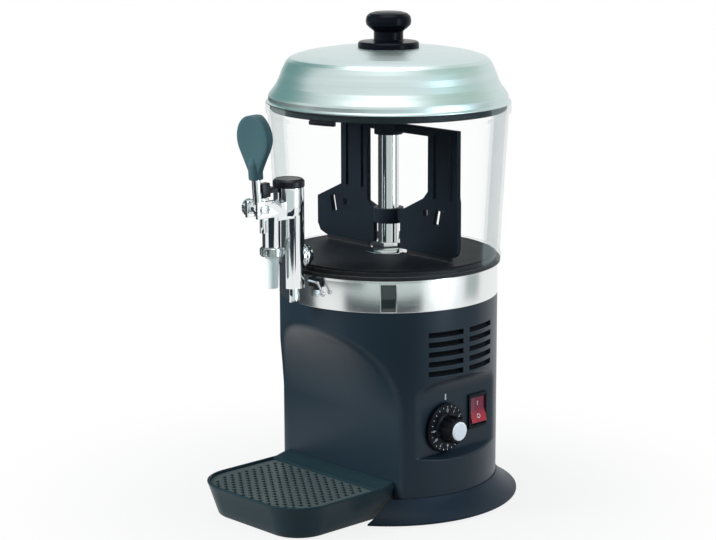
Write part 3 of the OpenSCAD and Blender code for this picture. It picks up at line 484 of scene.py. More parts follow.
shell_verts = []
for z in levels:
    for angle in angles:
        a = radians(angle)
        r = housing_radius(a, z)
        shell_verts.append((r * cos(a), r * sin(a), z))
shell_faces = []
for j in range(len(levels) - 1):
    for i in range(len(angles)):
        after = angles[(i + 1) % len(angles)] + (360 if i == len(angles) - 1 else 0)
        if not is_open((angles[i] + after) / 2, (levels[j] + levels[j + 1]) / 2):
            n = (i + 1) % len(angles)
            row, above = j * len(angles), (j + 1) * len(angles)
            shell_faces.append((row + i, row + n, above + n, above + i))
abs_body = moulded_black("abs_body", (0.0090, 0.0185, 0.0270), 1500, 0.00006, 0.34, 0.2)
make("housing_shell", (shell_verts, shell_faces), abs_body, "base", ["housing"],
     40, [("SOLIDIFY", {"thickness": wall / 1000, "offset": -1})])


def slab(outline, low, high, across="XZ"):
    """A flat outline pushed out between two places along the axis that it doesn't use."""
    place = {"XZ": lambda u, v, w: (u, w, v), "XY": lambda u, v, w: (u, v, w),
             "YZ": lambda u, v, w: (w, u, v)}[across]
    return skin([[place(u, v, w) for u, v in outline] for w in (low, high)])


# The tray's slot runs on inside the shell as a tunnel with its own roof, sides and back.
tunnel_half, tunnel_back = slot_half + wall, -47.0
tunnel = slab([(-tunnel_half, body.z0), (-tunnel_half, slot_top + wall),
               (tunnel_half, slot_top + wall), (tunnel_half, body.z0), (slot_half, body.z0),
               (slot_half, slot_top), (-slot_half, slot_top), (-slot_half, body.z0)],
              -recess_flat + wall - 0.5, tunnel_back - wall)
tunnel_end = slab([(-tunnel_half, body.z0), (tunnel_half, body.z0), (tunnel_half, slot_top + wall),
                   (-tunnel_half, slot_top + wall)], tunnel_back - wall, tunnel_back)
make("tray_tunnel", join(tunnel, tunnel_end), abs_body, "base")


# ---------------------------------------------------------------- foot
# A flared skirt of the same ABS snaps over the housing's lower edge and hides the rubber feet. It
# is open in front, where the tray slides in.
foot = around("base_ring")
flare_r = 44.0
flare_x, flare_z = 143.54, 43.31
flare_start, flare_steps = 105.62, 18
foot_inside, foot_steps = 107.6, 220


def flare(radius, r):
    """Height of an arc about the flare's centre, at a distance from the bowl's axis."""
    return flare_z - sqrt(radius ** 2 - (flare_x - r) ** 2)


foot_profile = [(body_r + 0.1, foot.z0), (body_r + 0.1, foot.z1)]
foot_profile += [(r, flare(flare_r, r)) for r in
                 [flare_start + (foot.x1 - flare_start) * k / flare_steps
                  for k in range(flare_steps + 1)]]
foot_profile += [(foot.x1, foot.z0 + 0.6), (foot.x1 - 0.6, foot.z0), (foot.x1 - 4, foot.z0)]
foot_profile += [(r, flare(flare_r + wall, r)) for r in (121, 118, 115, 112, 109.5, foot_inside)]
foot_profile += [(foot_inside, foot.z0)]
foot_outlines = []
for k in range(foot_steps + 1):
    outline = []
    for r, z in foot_profile:
        opening = asin(slot_half / r)
        a = opening + (2 * pi - 2 * opening) * k / foot_steps - pi / 2
        outline.append((r * cos(a), r * sin(a), z))
    foot_outlines.append(outline)
abs_foot = moulded_black("abs_foot", (0.0085, 0.0165, 0.0260), 1500, 0.00006, 0.40)
make("foot_skirt", skin(foot_outlines), abs_foot, "base", ["base_ring"], 30)


def dress(finish, *nodes):
    """Gives a finish to CAD nodes whose shape is kept."""
    for name in nodes:
        kept = bpy.data.objects[name]
        if not kept.material_slots:
            kept.data.materials.append(finish)
        for place in kept.material_slots:
            place.material = finish


def metal(name, colour, roughness, spread=0.08, lines=(1, 1, 1), scale=60, depth=0.00002):
    """Metal with fine lines or grain in one direction and slow changes of its gloss."""
    finish = Finish(name)
    grain = finish.noise(scale, 4, lines)
    slow = finish.noise(14, 2)
    tint = finish.blend(slow, (*[c * 0.94 for c in colour], 1), (*colour, 1))
    return finish.surface(Base_Color=tint, Metallic=1.0,
                          Roughness=roughness + (slow - 0.5) * spread + (grain - 0.5) * spread,
                          Normal=finish.bump(grain, depth, 0.4))


def rubber(name, colour, roughness=0.62):
    """Moulded rubber or silicone: matt, faintly mottled, with a dusty bloom."""
    finish = Finish(name)
    grain = finish.noise(900, 3)
    bloom = finish.noise(30, 4)
    tint = finish.blend(bloom, (*colour, 1), (*[c * 1.6 + 0.004 for c in colour], 1))
    return finish.surface(Base_Color=tint, Roughness=roughness + (bloom - 0.5) * 0.2,
                          Normal=finish.bump(grain, 0.00005, 0.4), Specular_IOR_Level=0.2)


dress(rubber("foot_rubber_black", (0.015, 0.015, 0.016), 0.75), "rubber_feet")
dress(metal("plate_sheet", (0.60, 0.61, 0.62), 0.34, 0.1, (1, 18, 1), 40),
      "base_plate", "motor_bridge")
zinc = metal("zinc_plate", (0.66, 0.67, 0.69), 0.26, 0.12, scale=200)
dress(zinc, "base_screws", "knob_screw", "dial_nut", "dial_spindle")


# ---------------------------------------------------------------- vents and cord gland
# Behind each pair of slot columns sits a curved insert of matt black slanted slats; the supply
# cord would enter at the back through a threaded nylon gland.
inner_black = moulded_black("inner_black", (0.006, 0.006, 0.007), 600, 0.00008, 0.55)
dress(inner_black, "vent_louvres", "cable_gland", "gland_nut")


# ---------------------------------------------------------------- band and water window
# A strip of stainless steel, brushed around, wraps the top of the housing. A bright frame with a
# smoked pane closes its gap, where the water level shows.
band = around("steel_band")
band_wall = 1.2
window_angle, window_half_angle = -44.0, 4.3
band_steel = metal("band_steel_brushed", (0.82, 0.85, 0.835), 0.22, 0.07, (0.02, 0.02, 1), 900)
make("steel_band_strip",
     turned(rounded([(band.x1 - band_wall, band.z0), (band.x1, band.z0), (band.x1, band.z1),
                     (band.x1 - band_wall, band.z1)], 0.45), 240,
            start=window_angle + window_half_angle, span=360 - 2 * window_half_angle),
     band_steel, "base", ["steel_band"])


def eased(node, name, finish, body, width, segments=2):
    """A CAD node's shape with its edges broken, as a moulded or machined piece has them."""
    sharp, bevelled = 32, 34
    copy = bpy.data.meshes.new(name)
    work = bmesh.new()
    work.from_mesh(bpy.data.objects[node].data)
    bmesh.ops.remove_doubles(work, verts=work.verts, dist=2e-6)
    bmesh.ops.dissolve_limit(work, angle_limit=radians(0.6), verts=work.verts, edges=work.edges)
    bmesh.ops.recalc_face_normals(work, faces=work.faces)
    work.to_mesh(copy)
    work.free()
    shape = ([tuple((v.co - axis) * 1000) for v in copy.vertices],
             [tuple(face.vertices) for face in copy.polygons])
    make(name, shape, finish, body, [node], sharp,
         [("BEVEL", {"width": width / 1000, "segments": segments, "limit_method": "ANGLE",
                     "angle_limit": radians(bevelled), "harden_normals": False})])


trim_steel = metal("trim_bright", (0.80, 0.82, 0.81), 0.16, 0.05, scale=120)
eased("window_frame", "window_trim", trim_steel, "base", 0.18)
smoke = Finish("window_smoked")
haze = smoke.noise(120, 2, (1, 1, 0.1))
smoked = smoke.surface(Base_Color=smoke.blend(haze, (0.016, 0.026, 0.027, 1),
                                              (0.045, 0.058, 0.056, 1)),
                       Roughness=0.10 + haze * 0.05, IOR=1.5, Coat_Weight=0.4)
eased("window_pane", "window_smoked_pane", smoked, "base", 0.15)


# ---------------------------------------------------------------- tank, heated plate and seals
# The deep-drawn steel tank hangs in the housing by its flange. A coated aluminium plate closes it
# and heats the bowl from below, inside a silicone seal.
flange = around("water_tank")
lip_inside, lip_low, lip_high = 98.0, 226.0, 228.4
make("tank_lip",
     turned(rounded([(lip_inside, lip_low), (flange.x1, lip_low), (flange.x1, lip_high),
                     (lip_inside, lip_high)], 0.9), 240),
     band_steel, "base")
dress(band_steel, "water_tank")
dress(metal("heater_tube", (0.30, 0.29, 0.30), 0.42, 0.2, scale=90), "heating_element")
motor_finish = metal("motor_cast", (0.52, 0.53, 0.55), 0.38, 0.16, scale=260, depth=0.00008)
dress(motor_finish, "gear_motor")
control_grey = moulded_black("control_grey", (0.06, 0.063, 0.068), 700, 0.0001, 0.5)
dress(control_grey, "thermostat")
plate = around("heated_plate")
plate_coat = Finish("plate_coat")
speck = plate_coat.noise(2600, 2)
coat_patches = plate_coat.noise(16, 3)
coated = plate_coat.surface(
    Base_Color=plate_coat.blend(speck, (0.0095, 0.0115, 0.0150, 1), (0.0200, 0.0240, 0.0280, 1)),
    Roughness=0.52 + (coat_patches - 0.5) * 0.14, IOR=1.5, Specular_IOR_Level=0.05,
    Normal=plate_coat.bump(speck, 0.00005, 0.5))
plate_r, plate_top = plate.x1, plate.z1
plate_hole, plate_wall = 10.1, 3.5
plate_foot, plate_under = 228.6, 233.0
make("heated_plate_disc",
     turned([(plate_hole, plate.z0 + 0.4), (plate_r - plate_wall, plate_under)]
            + rounded([(plate_r - plate_wall, plate_foot), (plate_r, plate_foot),
                       (plate_r, plate_top), (plate_r - 4.0, plate_top - 0.25),
                       (plate_r - 9, plate_top - 0.35), (plate_r - 14, plate_top)],
                      [0, 0, 1.4, 1, 1, 3], closed=False)
            + [(40, plate_top), (plate_hole, plate_top)], 200),
     coated, "base", ["heated_plate"])
seal = around("plate_seal")
seal_inside, seal_lip, seal_ledge = 100.7, 103.4, 231.9
seal_black = rubber("seal_silicone", (0.010, 0.010, 0.012), 0.5)
make("plate_seal_ring",
     turned(rounded([(seal_inside, seal.z0), (seal.x1, seal.z0), (seal.x1, seal_ledge),
                     (seal_lip, seal_ledge), (seal_lip, seal.z1), (seal_inside, seal.z1)],
                    [0.2, 1.1, 0.8, 0.2, 0.8, 0.8]), 200),
     seal_black, "base", ["plate_seal"])


# ---------------------------------------------------------------- bowl
# A clear moulded bowl with a thickened foot and a stepped rim that the lid sits in; its wall leans
# out a little, and the tap's inlet passes through it in front.
bowl = around("bowl")
bowl_inside, foot_out, wall_out, wall_in, bowl_rim = 103.5, 106.6, 112.7, 109.7, 116.2
foot_low, foot_high, wall_low, wall_high, lid_seat = 232.0, 235.4, 236.4, 345.0, 371.0
wall_rise = wall_high - wall_low
wall_steps = 12
clear = Finish("bowl_clear")
edge = clear.add("ShaderNodeLayerWeight", {}, {"Blend": 0.5}, "Facing")
glaze = clear.add("ShaderNodeLayerWeight", {}, {"Blend": 0.12}, "Fresnel")
through = clear.add("ShaderNodeBsdfTransparent", {}, {"Color": (0.995, 0.998, 0.997, 1)})
wipes = clear.noise(12, 3)
gloss = clear.add("ShaderNodeBsdfPrincipled", {}, {
    "Base Color": (0.40, 0.47, 0.46, 1), "Roughness": 0.03 + wipes * 0.02, "IOR": 1.49,
    "Normal": clear.bump(clear.noise(7, 2), 0.0004, 0.15)})
edge_tint = edge.maths("POWER", edge, 14.0) * 0.5
clear_moulding = clear.show(clear.add("ShaderNodeMixShader", {}, {
    0: edge_tint.maths("MAXIMUM", edge_tint, glaze * 0.30), 1: through, 2: gloss}))
bowl_outline = (
    rounded([(bowl_inside, foot_low), (foot_out + 1.2, foot_low), (foot_out + 1.2, foot_high),
             (foot_out, wall_low)], [0.5, 0.7, 0.7, 0.6], 3, False)
    + [(foot_out + (wall_out - foot_out) * k / wall_steps, wall_low + wall_rise * k / wall_steps)
       for k in range(1, wall_steps)]
    + rounded([(wall_out, wall_high), (bowl_rim - 2.2, lid_seat - 2), (bowl_rim, lid_seat),
               (bowl_rim, bowl.z1), (bowl_rim - 4, bowl.z1), (bowl_rim - 4, lid_seat),
               (bowl_rim - 5.2, lid_seat - 4), (wall_in, wall_high)],
              [6, 1.5, 1.2, 1.0, 0.6, 1.5, 1.5, 6], 3, False)
    + [(wall_in - (wall_in - bowl_inside) * k / wall_steps, wall_high - wall_rise * k / wall_steps)
       for k in range(1, wall_steps + 1)])
make("bowl_clear_moulding", turned(bowl_outline, 192), clear_moulding, "base", ["bowl"],
     30)


# ---------------------------------------------------------------- column and stirrer
# A stainless column is screwed through the plate with a flange and a hexagon nut. Its shaft turns
# the black moulded stirrer: two unlike arms on blades with flow holes, and a silicone wiper.
column_steel = metal("column_polished", (0.76, 0.78, 0.775), 0.10, 0.05, (1, 1, 0.05), 500)
column = around("column_tube")
bore_r, tube_r, flange_r = 7.0, 10.0, 23.5
flange_low, flange_top = plate_top + 0.02, plate_top + 2.4
make("column_steel_tube",
     turned(rounded([(bore_r, column.z0), (tube_r, column.z0), (tube_r, flange_low),
                     (flange_r, flange_low), (flange_r, flange_top - 1.2), (16, flange_top),
                     (tube_r, flange_top), (tube_r, column.z1), (bore_r, column.z1)],
                    [0, 0, 0, 0.3, 0.5, 0.4, 0.3, 0.6, 0.3], 3), 96),
     column_steel, "base", ["column_tube"])
eased("column_nut", "column_hex_nut", column_steel, "base", 0.5)
dress(column_steel, "drive_shaft")
dress(metal("bush_bronze", (0.60, 0.42, 0.16), 0.35, 0.1, scale=300), "shaft_bushing")
stirrer_black = moulded_black("stirrer_black", (0.0095, 0.0140, 0.0200), 1300, 0.00006, 0.40, 0.05)
eased("stirrer_frame", "stirrer_moulding", stirrer_black, "stirrer", 0.9,
      segments=3)
eased("stirrer_wiper", "wiper_strip", rubber("wiper_silicone", (0.014, 0.015, 0.018)), "stirrer",
      0.4)


# ---------------------------------------------------------------- tap
# A lever tap of chrome-plated brass: a valve column with a capped head, a block that carries the
# spout tube, two cheeks for the lever's pin, knurled nuts on the pin and the spout, and a pale
# moulded nozzle.
chrome = metal("tap_chrome_plate", (0.84, 0.87, 0.88), 0.07, 0.03, scale=240, depth=0.00001)
satin_chrome = metal("tap_satin_chrome", (0.52, 0.56, 0.55), 0.22, 0.08, scale=300)
eased("tap_body", "tap_casting", chrome, "base", 0.45)
eased("tap_inlet", "tap_inlet_pipe", chrome, "base", 0.35)
eased("inlet_gasket", "inlet_gasket_ring", seal_black, "base", 0.3)
eased("tap_plug", "tap_drain_plug", chrome, "base", 0.4)
eased("pivot_pin", "lever_pivot_pin", chrome, "base", 0.5)
tap_black = moulded_black("tap_black", (0.006, 0.007, 0.010), 1400, 0.00004, 0.30, 0.25)
cap = around("tap_cap")
cap_mid = ((cap.x0 + cap.x1) / 2, (cap.y0 + cap.y1) / 2)
cap_r = (cap.x1 - cap.x0) / 2
make("tap_head_cap",
     turned(rounded([(0, cap.z0), (cap_r - 0.4, cap.z0), (cap_r, cap.z0 + 1), (cap_r, cap.z1 - 2.2),
                     (cap_r - 2.2, cap.z1), (cap_r - 4, cap.z1 - 0.5), (0, cap.z1 - 0.5)],
                    [0, 0.3, 0.6, 1.4, 0.9, 0.8, 0]), 96, (*cap_mid, 0)),
     tap_black, "base", ["tap_cap"])

ring_of = Pattern("ring_of", Count="Int", Turn="Vector", Place="Vector")
points = ring_of.add("GeometryNodeMeshLine", {"mode": "OFFSET"}, {
    "Count": ring_of.given("Count"), "Start Location": (0, 0, 0), "Offset": (0, 0, 0)})
turned_by = ring_of.add("ShaderNodeVectorMath", {"operation": "SCALE"}, {
    0: ring_of.given("Turn"), "Scale": ring_of.add("GeometryNodeInputIndex")})
copies = ring_of.add("GeometryNodeInstanceOnPoints", {}, {
    "Points": points, "Instance": ring_of.given("Unit"), "Rotation": turned_by})
ring_of.made(ring_of.add("GeometryNodeTransform", {}, {
    "Geometry": copies, "Translation": ring_of.given("Place")}))


def ring(name, unit, count, about, place, finish, body):
    """Copies of a small shape around the X or Z axis through a place."""
    step = 2 * pi / count
    sharp = 30
    make(name, unit, finish, body, (), sharp, pattern=ring_of, sizes={
        "Count": count, "Turn": {"X": (step, 0, 0), "Z": (0, 0, step)}[about],
        "Place": Vector(place) * 0.001 + axis})


nut = around("spout_nut")
spout_y = (nut.y0 + nut.y1) / 2
nut_r, nut_inside = 10.4, 6.6
make("spout_nut_ring",
     turned(rounded([(nut_inside, nut.z0), (nut_r - 0.3, nut.z0), (nut_r, nut.z0 + 0.6),
                     (nut_r, nut.z1 - 0.6), (nut_r - 0.6, nut.z1), (nut_inside, nut.z1)], 0.5),
            72, (0, spout_y, 0)),
     satin_chrome, "base", ["spout_nut"])
grip_outline = rounded([(nut_r - 0.6, -1.0), (nut_r + 0.8, -0.6), (nut_r + 0.8, 0.6),
                        (nut_r - 0.6, 1.0)], 0.3, 2)
ring("spout_nut_grips", slab(grip_outline, nut.z0 + 1.2, nut.z1 - 1.2, "XY"), 20, "Z",
     (0, spout_y, 0), satin_chrome, "base")
nozzle = around("spout_nozzle")
nozzle_bore, nozzle_tip, nozzle_r, nozzle_shoulder = 4.2, 5.2, 6.5, 251.0
pale = Finish("nozzle_pale")
milk = pale.noise(40, 3)
pale_moulding = pale.surface(Base_Color=pale.blend(milk, (0.62, 0.70, 0.66, 1),
                                                   (0.72, 0.79, 0.75, 1)),
                             Roughness=0.28 + milk * 0.08, IOR=1.46,
                             Normal=pale.bump(pale.noise(800, 2), 0.00004, 0.4))
make("spout_nozzle_tube",
     turned(rounded([(nozzle_bore, nozzle.z0), (nozzle_tip, nozzle.z0),
                     (nozzle_r, nozzle_shoulder), (nozzle_r, nozzle.z1), (nozzle_bore, nozzle.z1)],
                    [0.3, 0.5, 1, 0.3, 0.3]), 64, (0, spout_y, 0)),
     pale_moulding, "base", ["spout_nozzle"])
pivot = around("pivot_nut")
pivot_y, pivot_z = (pivot.y0 + pivot.y1) / 2, (pivot.z0 + pivot.z1) / 2
pivot_bore, pivot_r = 2.6, 7.2
make("pivot_nut_disc",
     turned(rounded([(pivot_bore, pivot.x0), (pivot_r - 0.8, pivot.x0), (pivot_r, pivot.x0 + 0.8),
                     (pivot_r, pivot.x1 - 0.8), (pivot_r - 0.6, pivot.x1),
                     (pivot_bore, pivot.x1)], 0.5), 64, (0, pivot_y, pivot_z), "X"),
     chrome, "base", ["pivot_nut"])
knurl_outline = rounded([(-0.55, pivot_r - 0.4), (0.55, pivot_r - 0.4), (0.25, pivot_r + 0.7),
                         (-0.25, pivot_r + 0.7)], 0.15, 1)
ring("pivot_nut_knurl", slab(knurl_outline, pivot.x0 + 0.9, pivot.x1 - 0.9, "YZ"), 30, "X",
     (0, pivot_y, pivot_z), chrome, "base")
valve_grey = rubber("valve_rubber_grey", (0.03, 0.032, 0.035))
eased("valve_plunger", "valve_plunger_piston", valve_grey, "valve", 0.4)


# ---------------------------------------------------------------- lever
# The lever's chromed stem turns on the pin. A black tongue behind it works the valve, and the
# thumb paddle is a moulded spoon: thick at the edge, dished in front and leaning back.
eased("lever_stem", "lever_stem_rod", chrome, "lever", 0.4)
eased("lever_link", "lever_tongue", tap_black, "lever", 0.6)
paddle_lean = radians(4)
paddle_r, paddle_low_r, paddle_low, paddle_top, paddle_t = 21.5, 8.0, 36.0, 85.0, 7.0
paddle_side, paddle_face, paddle_bulge, paddle_dish = 0.55, 0.62, 1.7, 1.5
paddle_mid = paddle_top - paddle_r
taper = asin((paddle_r - paddle_low_r) / (paddle_mid - paddle_low))


def paddle_half(z):
    """Half the paddle's width at a height above the pin."""
    if z >= paddle_mid - paddle_r * sin(taper):
        return sqrt(max(paddle_r ** 2 - (z - paddle_mid) ** 2, 0))
    low_edge = paddle_low - paddle_low_r * sin(taper)
    if z >= low_edge:
        return (paddle_low_r * cos(taper)
                + (paddle_r - paddle_low_r) * cos(taper) * (z - low_edge)
                / (paddle_mid - paddle_low - (paddle_r - paddle_low_r) * sin(taper)))
    return sqrt(max(paddle_low_r ** 2 - (z - paddle_low) ** 2, 0))


def lean_back(x, y, z):
    """A point of the lever at rest, from one drawn upright about its pin."""
    return (x, pivot_y + y * cos(paddle_lean) - z * sin(paddle_lean),
            pivot_z + y * sin(paddle_lean) + z * cos(paddle_lean))


paddle_low_end = paddle_low - paddle_low_r
paddle_rows, paddle_columns = 46, 40
paddle_outlines = []
for k in range(paddle_rows + 1):
    t = 0.5 - 0.5 * cos(pi * k / paddle_rows)
    z = paddle_low_end + 0.02 + (paddle_top - paddle_low_end - 0.04) * t
    half = max(paddle_half(z), 0.05)
    thick = paddle_t / 2 * min(1, half / 5) ** 0.5
    risen = min(max((z - paddle_low) / (paddle_mid - paddle_low), 0), 1)
    outline = []
    for i in range(paddle_columns):
        a = 2 * pi * i / paddle_columns
        x = half * copysign(abs(cos(a)) ** paddle_side, cos(a))
        y = thick * copysign(abs(sin(a)) ** paddle_face, sin(a))
        if y > 0:
            y *= 1 + paddle_bulge * risen ** 1.5
        else:
            from_dish = (x / paddle_r) ** 2 + ((z - paddle_mid) / paddle_r) ** 2
            y += paddle_dish * max(1 - from_dish, 0)
        outline.append(lean_back(x, y, z))
    paddle_outlines.append(outline)
stem_hole, collar_r, collar_low, collar_top, stem_end = 4.2, 6.6, 27.0, 48.0, 40.2
collar_verts, collar_faces = turned(
    rounded([(stem_hole, collar_low), (collar_r - 0.2, collar_low), (collar_r, collar_low + 1),
             (collar_r, collar_top - 7), (3.0, collar_top), (0, collar_top), (0, stem_end),
             (stem_hole, stem_end)], [0.2, 0.5, 0.6, 3, 1, 0, 0, 0.2]), 48)
collar_verts = [lean_back(*v) for v in collar_verts]
paddle_black = moulded_black("paddle_black", (0.037, 0.078, 0.088), 1100, 0.00007, 0.42)
make("lever_paddle_spoon", join(skin(paddle_outlines), (collar_verts, collar_faces)),
     paddle_black, "lever", ["lever_paddle"], 50)


# ---------------------------------------------------------------- lid
# A spun stainless lid, polished in rings, rests on the bowl's rim by a rolled flange. A black ring
# and a tab under it centre it, and a moulded knob is screwed through its middle.
lid = around("lid_shell")
lid_r, lid_wall, lid_inner_r = 113.3, 1.2, 109.2
lid_low, lid_top = lid.z0, lid.z1
lid_face = [(lid_r + 1, lid_low + 1.5), (lid_r, lid_low + 2.4), (lid_r, lid_low + 6.2),
            (lid_r - 0.7, lid_low + 8.2), (lid_r - 3.9, lid_low + 12.4),
            (lid_r - 7.6, lid_low + 17.7), (lid_r - 10.3, lid_low + 23.7),
            (lid_r - 12.3, lid_low + 29.3), (lid_r - 14.7, lid_top - 16.2),
            (lid_r - 17.3, lid_top - 11.6), (lid_r - 20.4, lid_top - 8.8),
            (lid_r - 25.5, lid_top - 6.9), (lid_r - 32.6, lid_top - 4.8),
            (lid_r - 51.5, lid_top - 1.6), (lid_r - 73, lid_top), (5, lid_top)]
lid_soft = [0.5, 0.5, 1.5, 2, 6, 7, 8, 8, 6, 5, 5, 8, 10, 20, 20, 0]
lid_inside = [(r - lid_wall if r > 6 else r, z - lid_wall) for r, z in reversed(lid_face[2:])]
lid_outline = (
    rounded([(lid_inner_r, lid_low), (lid_r + 2.5, lid_low), (lid_r + 2.5, lid_low + 0.9)],
            [0.2, 0.4, 0.4], 3, False)
    + rounded(lid_face, lid_soft, 5, False)
    + rounded(lid_inside, 5, 4, False)
    + [(lid_r - lid_wall, lid_low + 1.3), (lid_inner_r, lid_low + lid_wall)])
lid_steel = Finish("lid_spun_steel")
lid_spot = lid_steel.add("ShaderNodeTexCoord", output="Object")
centred = lid_steel.add("ShaderNodeMapping", {}, {
    "Vector": lid_spot, "Location": (-axis.x, -axis.y, 0), "Scale": (1, 1, 0)})
from_middle = lid_steel.add("ShaderNodeVectorMath", {"operation": "LENGTH"}, {0: centred}, "Value")
lathe_lines = lid_steel.add("ShaderNodeTexNoise", {"noise_dimensions": "1D"}, {
    "W": from_middle, "Scale": 2600, "Detail": 3})
fine_lines = lid_steel.add("ShaderNodeTexNoise", {"noise_dimensions": "1D"}, {
    "W": from_middle, "Scale": 420, "Detail": 2})
lid_slow = lid_steel.noise(9, 3)
spun = lid_steel.surface(
    Base_Color=lid_steel.blend(fine_lines, (0.545, 0.650, 0.640, 1), (0.640, 0.745, 0.735, 1)),
    Metallic=1.0, Roughness=0.36 + (lathe_lines - 0.5) * 0.16 + (lid_slow - 0.5) * 0.06,
    Normal=lid_steel.bump(lathe_lines, 0.00002, 0.35))
make("lid_spun_shell", turned(lid_outline, 240), spun, "lid", ["lid_shell"], 40)
eased("lid_seal", "lid_centring_ring", rubber("lid_ring_black", (0.012, 0.017, 0.019), 0.5), "lid",
      0.3)
eased("lid_tab", "lid_stop_tab", tap_black, "lid", 0.5)
knob_top = around("lid_knob").z1
knob_r, neck_r, knob_foot_r, screw_r, knob_base = 21.5, 13.9, 28.8, 2.6, lid_top + 0.02
knob_gloss = moulded_black("knob_gloss", (0.0018, 0.0028, 0.0055), 1800, 0.00003, 0.26, 0.06)
make("lid_knob_turned",
     turned(rounded([(screw_r, knob_base), (knob_foot_r - 0.4, knob_base),
                     (knob_foot_r, lid_top + 0.6), (knob_foot_r, lid_top + 4.4),
                     (knob_foot_r - 1.6, lid_top + 5.9), (neck_r + 1.4, lid_top + 6.3),
                     (neck_r, lid_top + 7.6), (neck_r, knob_top - 18.6),
                     (knob_r - 3.4, knob_top - 15.4), (knob_r - 0.6, knob_top - 12.6),
                     (knob_r, knob_top - 9.0), (knob_r - 0.8, knob_top - 4.8),
                     (knob_r - 3.6, knob_top - 2.0), (knob_r - 9, knob_top - 0.5), (4, knob_top),
                     (0.0, knob_top), (0, lid_top + 15), (screw_r, lid_top + 15)],
                    [0, 0.3, 0.4, 1.2, 1.0, 0.8, 1, 2, 2, 2.5, 3, 3, 3, 5, 2, 0, 0, 0], 5), 120),
     knob_gloss, "lid", ["lid_knob"], 45)


# ---------------------------------------------------------------- drip tray
# The pull-out tray is one moulding: walls that lean in, a rounded rim, a seat for the grille, the
# basin, and at the back a deck that runs into the slot, with a raised stop along the housing.
tray = around("drip_tray")
tray_half, tray_front, tray_back = tray.x1, -tray.y0, -tray.y1
tray_corner, tray_lean, tray_rim, seat = 40.0, 11.0, tray.z1, 28.0
deck_at = 86.0
corner_steps, tight_corner = 14, 1.6


def tray_line(inset, z, back):
    """The tray's outline at an inset, with round front corners and tight back ones."""
    half, front = tray_half - inset, tray_front - inset
    wide, tight = max(tray_corner - inset, 4), tight_corner
    line = []
    for x, y, r, start, steps in (
            (-half + wide, -front + wide, wide, 180, corner_steps),
            (half - wide, -front + wide, wide, 270, corner_steps),
            (half - tight, -back - tight, tight, 0, 3),
            (-half + tight, -back - tight, tight, 90, 3)):
        turns = [radians(start + 90 * k / steps) for k in range(steps + 1)]
        line += [(x + r * cos(a), y + r * sin(a), z) for a in turns]
    return line


def leaning(z):
    """How far the tray's wall has leant in at a height below its rim."""
    return tray_lean * (tray_rim - z) / tray_rim


tray_lines = [(leaning(1) + 1.6, tray.z0, tray_back), (leaning(1) + 0.5, tray.z0 + 0.4, tray_back),
              (leaning(2.4), 2.4, tray_back), (leaning(10), 10, tray_back),
              (leaning(20), 20, tray_back), (leaning(29.5), 29.5, tray_back),
              (0.35, 31.2, tray_back), (0.1, 32.0, tray_back), (0.35, 32.8, tray_back),
              (0.95, tray_rim - 0.05, tray_back + 0.3), (1.6, tray_rim, deck_at - 1.0),
              (2.2, tray_rim - 0.2, deck_at - 0.3), (2.6, tray_rim - 0.7, deck_at),
              (2.6, seat + 0.2, deck_at), (2.9, seat, deck_at + 0.3), (6.0, seat, deck_at + 3),
              (6.3, seat - 0.3, deck_at + 3.2), (7.8, 24, deck_at + 3.6), (12.6, 8, deck_at + 4),
              (14.4, 4.4, deck_at + 5), (16.5, 3.4, deck_at + 7)]
tray_black = moulded_black("tray_black", (0.0110, 0.0250, 0.0310), 1300, 0.00007, 0.36)
stop_foot, stop_top, stop_back = tray_rim - 0.4, tray_rim + 2.8, -recess_flat - 0.3
stop = slab(rounded([(-deck_at + 4, stop_foot), (stop_back, stop_foot), (stop_back, stop_top),
                     (stop_back - 1.5, stop_top)], [0, 0, 0.5, 1.6]),
            0.8 - tray_half, tray_half - 0.8, "YZ")
make("drip_tray_moulding", join(skin([tray_line(*line) for line in tray_lines]), stop),
     tray_black, "tray", ["drip_tray"], 38)


# ---------------------------------------------------------------- drip grille
# A lift-out plate of grey-black moulded plastic, which lies loose on the tray's seat. It is
# pierced with staggered square holes in a field that follows the plate's round front corners.
perforated = Pattern("perforated", Hole="Float", Across="Float", Along="Float", Columns="Int",
                     Rows="Int", Middle="Vector", Half="Float", Corner="Float", Edge="Float")


def field(shift):
    """One of the two grids of hole centres."""
    columns, rows = perforated.given("Columns"), perforated.given("Rows")
    grid = perforated.add("GeometryNodeMeshGrid", {}, {
        "Size X": (columns - 1) * perforated.given("Across"),
        "Size Y": (rows - 1) * perforated.given("Along"),
        "Vertices X": columns, "Vertices Y": rows})
    half_step = perforated.add("ShaderNodeCombineXYZ", {}, {
        0: perforated.given("Across") * (shift / 2), 1: perforated.given("Along") * (shift / 2)})
    middle = perforated.add("ShaderNodeVectorMath", {"operation": "ADD"}, {
        0: perforated.given("Middle"), 1: half_step})
    return perforated.add("GeometryNodeTransform", {}, {"Geometry": grid, "Translation": middle})


grids = perforated.add("GeometryNodeJoinGeometry")
for shift in (0, 1):
    perforated.tree.links.new(field(shift).socket, grids.socket.node.inputs[0])
away = perforated.add("ShaderNodeVectorMath", {"operation": "SUBTRACT"}, {
    0: perforated.add("GeometryNodeInputPosition"), 1: perforated.given("Middle")})
spread = perforated.add("ShaderNodeSeparateXYZ", {}, {0: away})
sideways = spread.maths("ABSOLUTE", spread) - perforated.given("Half")
forwards = (perforated.add("ShaderNodeSeparateXYZ", {}, {0: away}, 1) * -1.0
            - perforated.given("Edge"))
over_x = sideways.maths("MAXIMUM", sideways, 0.0)
over_y = forwards.maths("MAXIMUM", forwards, 0.0)
over_square = over_x * over_x + over_y * over_y
past_corner = over_square.maths("SQRT", over_square) > perforated.given("Corner")
kept = perforated.add("GeometryNodeDeleteGeometry", {"domain": "POINT"}, {
    "Geometry": grids, "Selection": past_corner})
hole = perforated.given("Hole")
punch_length = 0.02
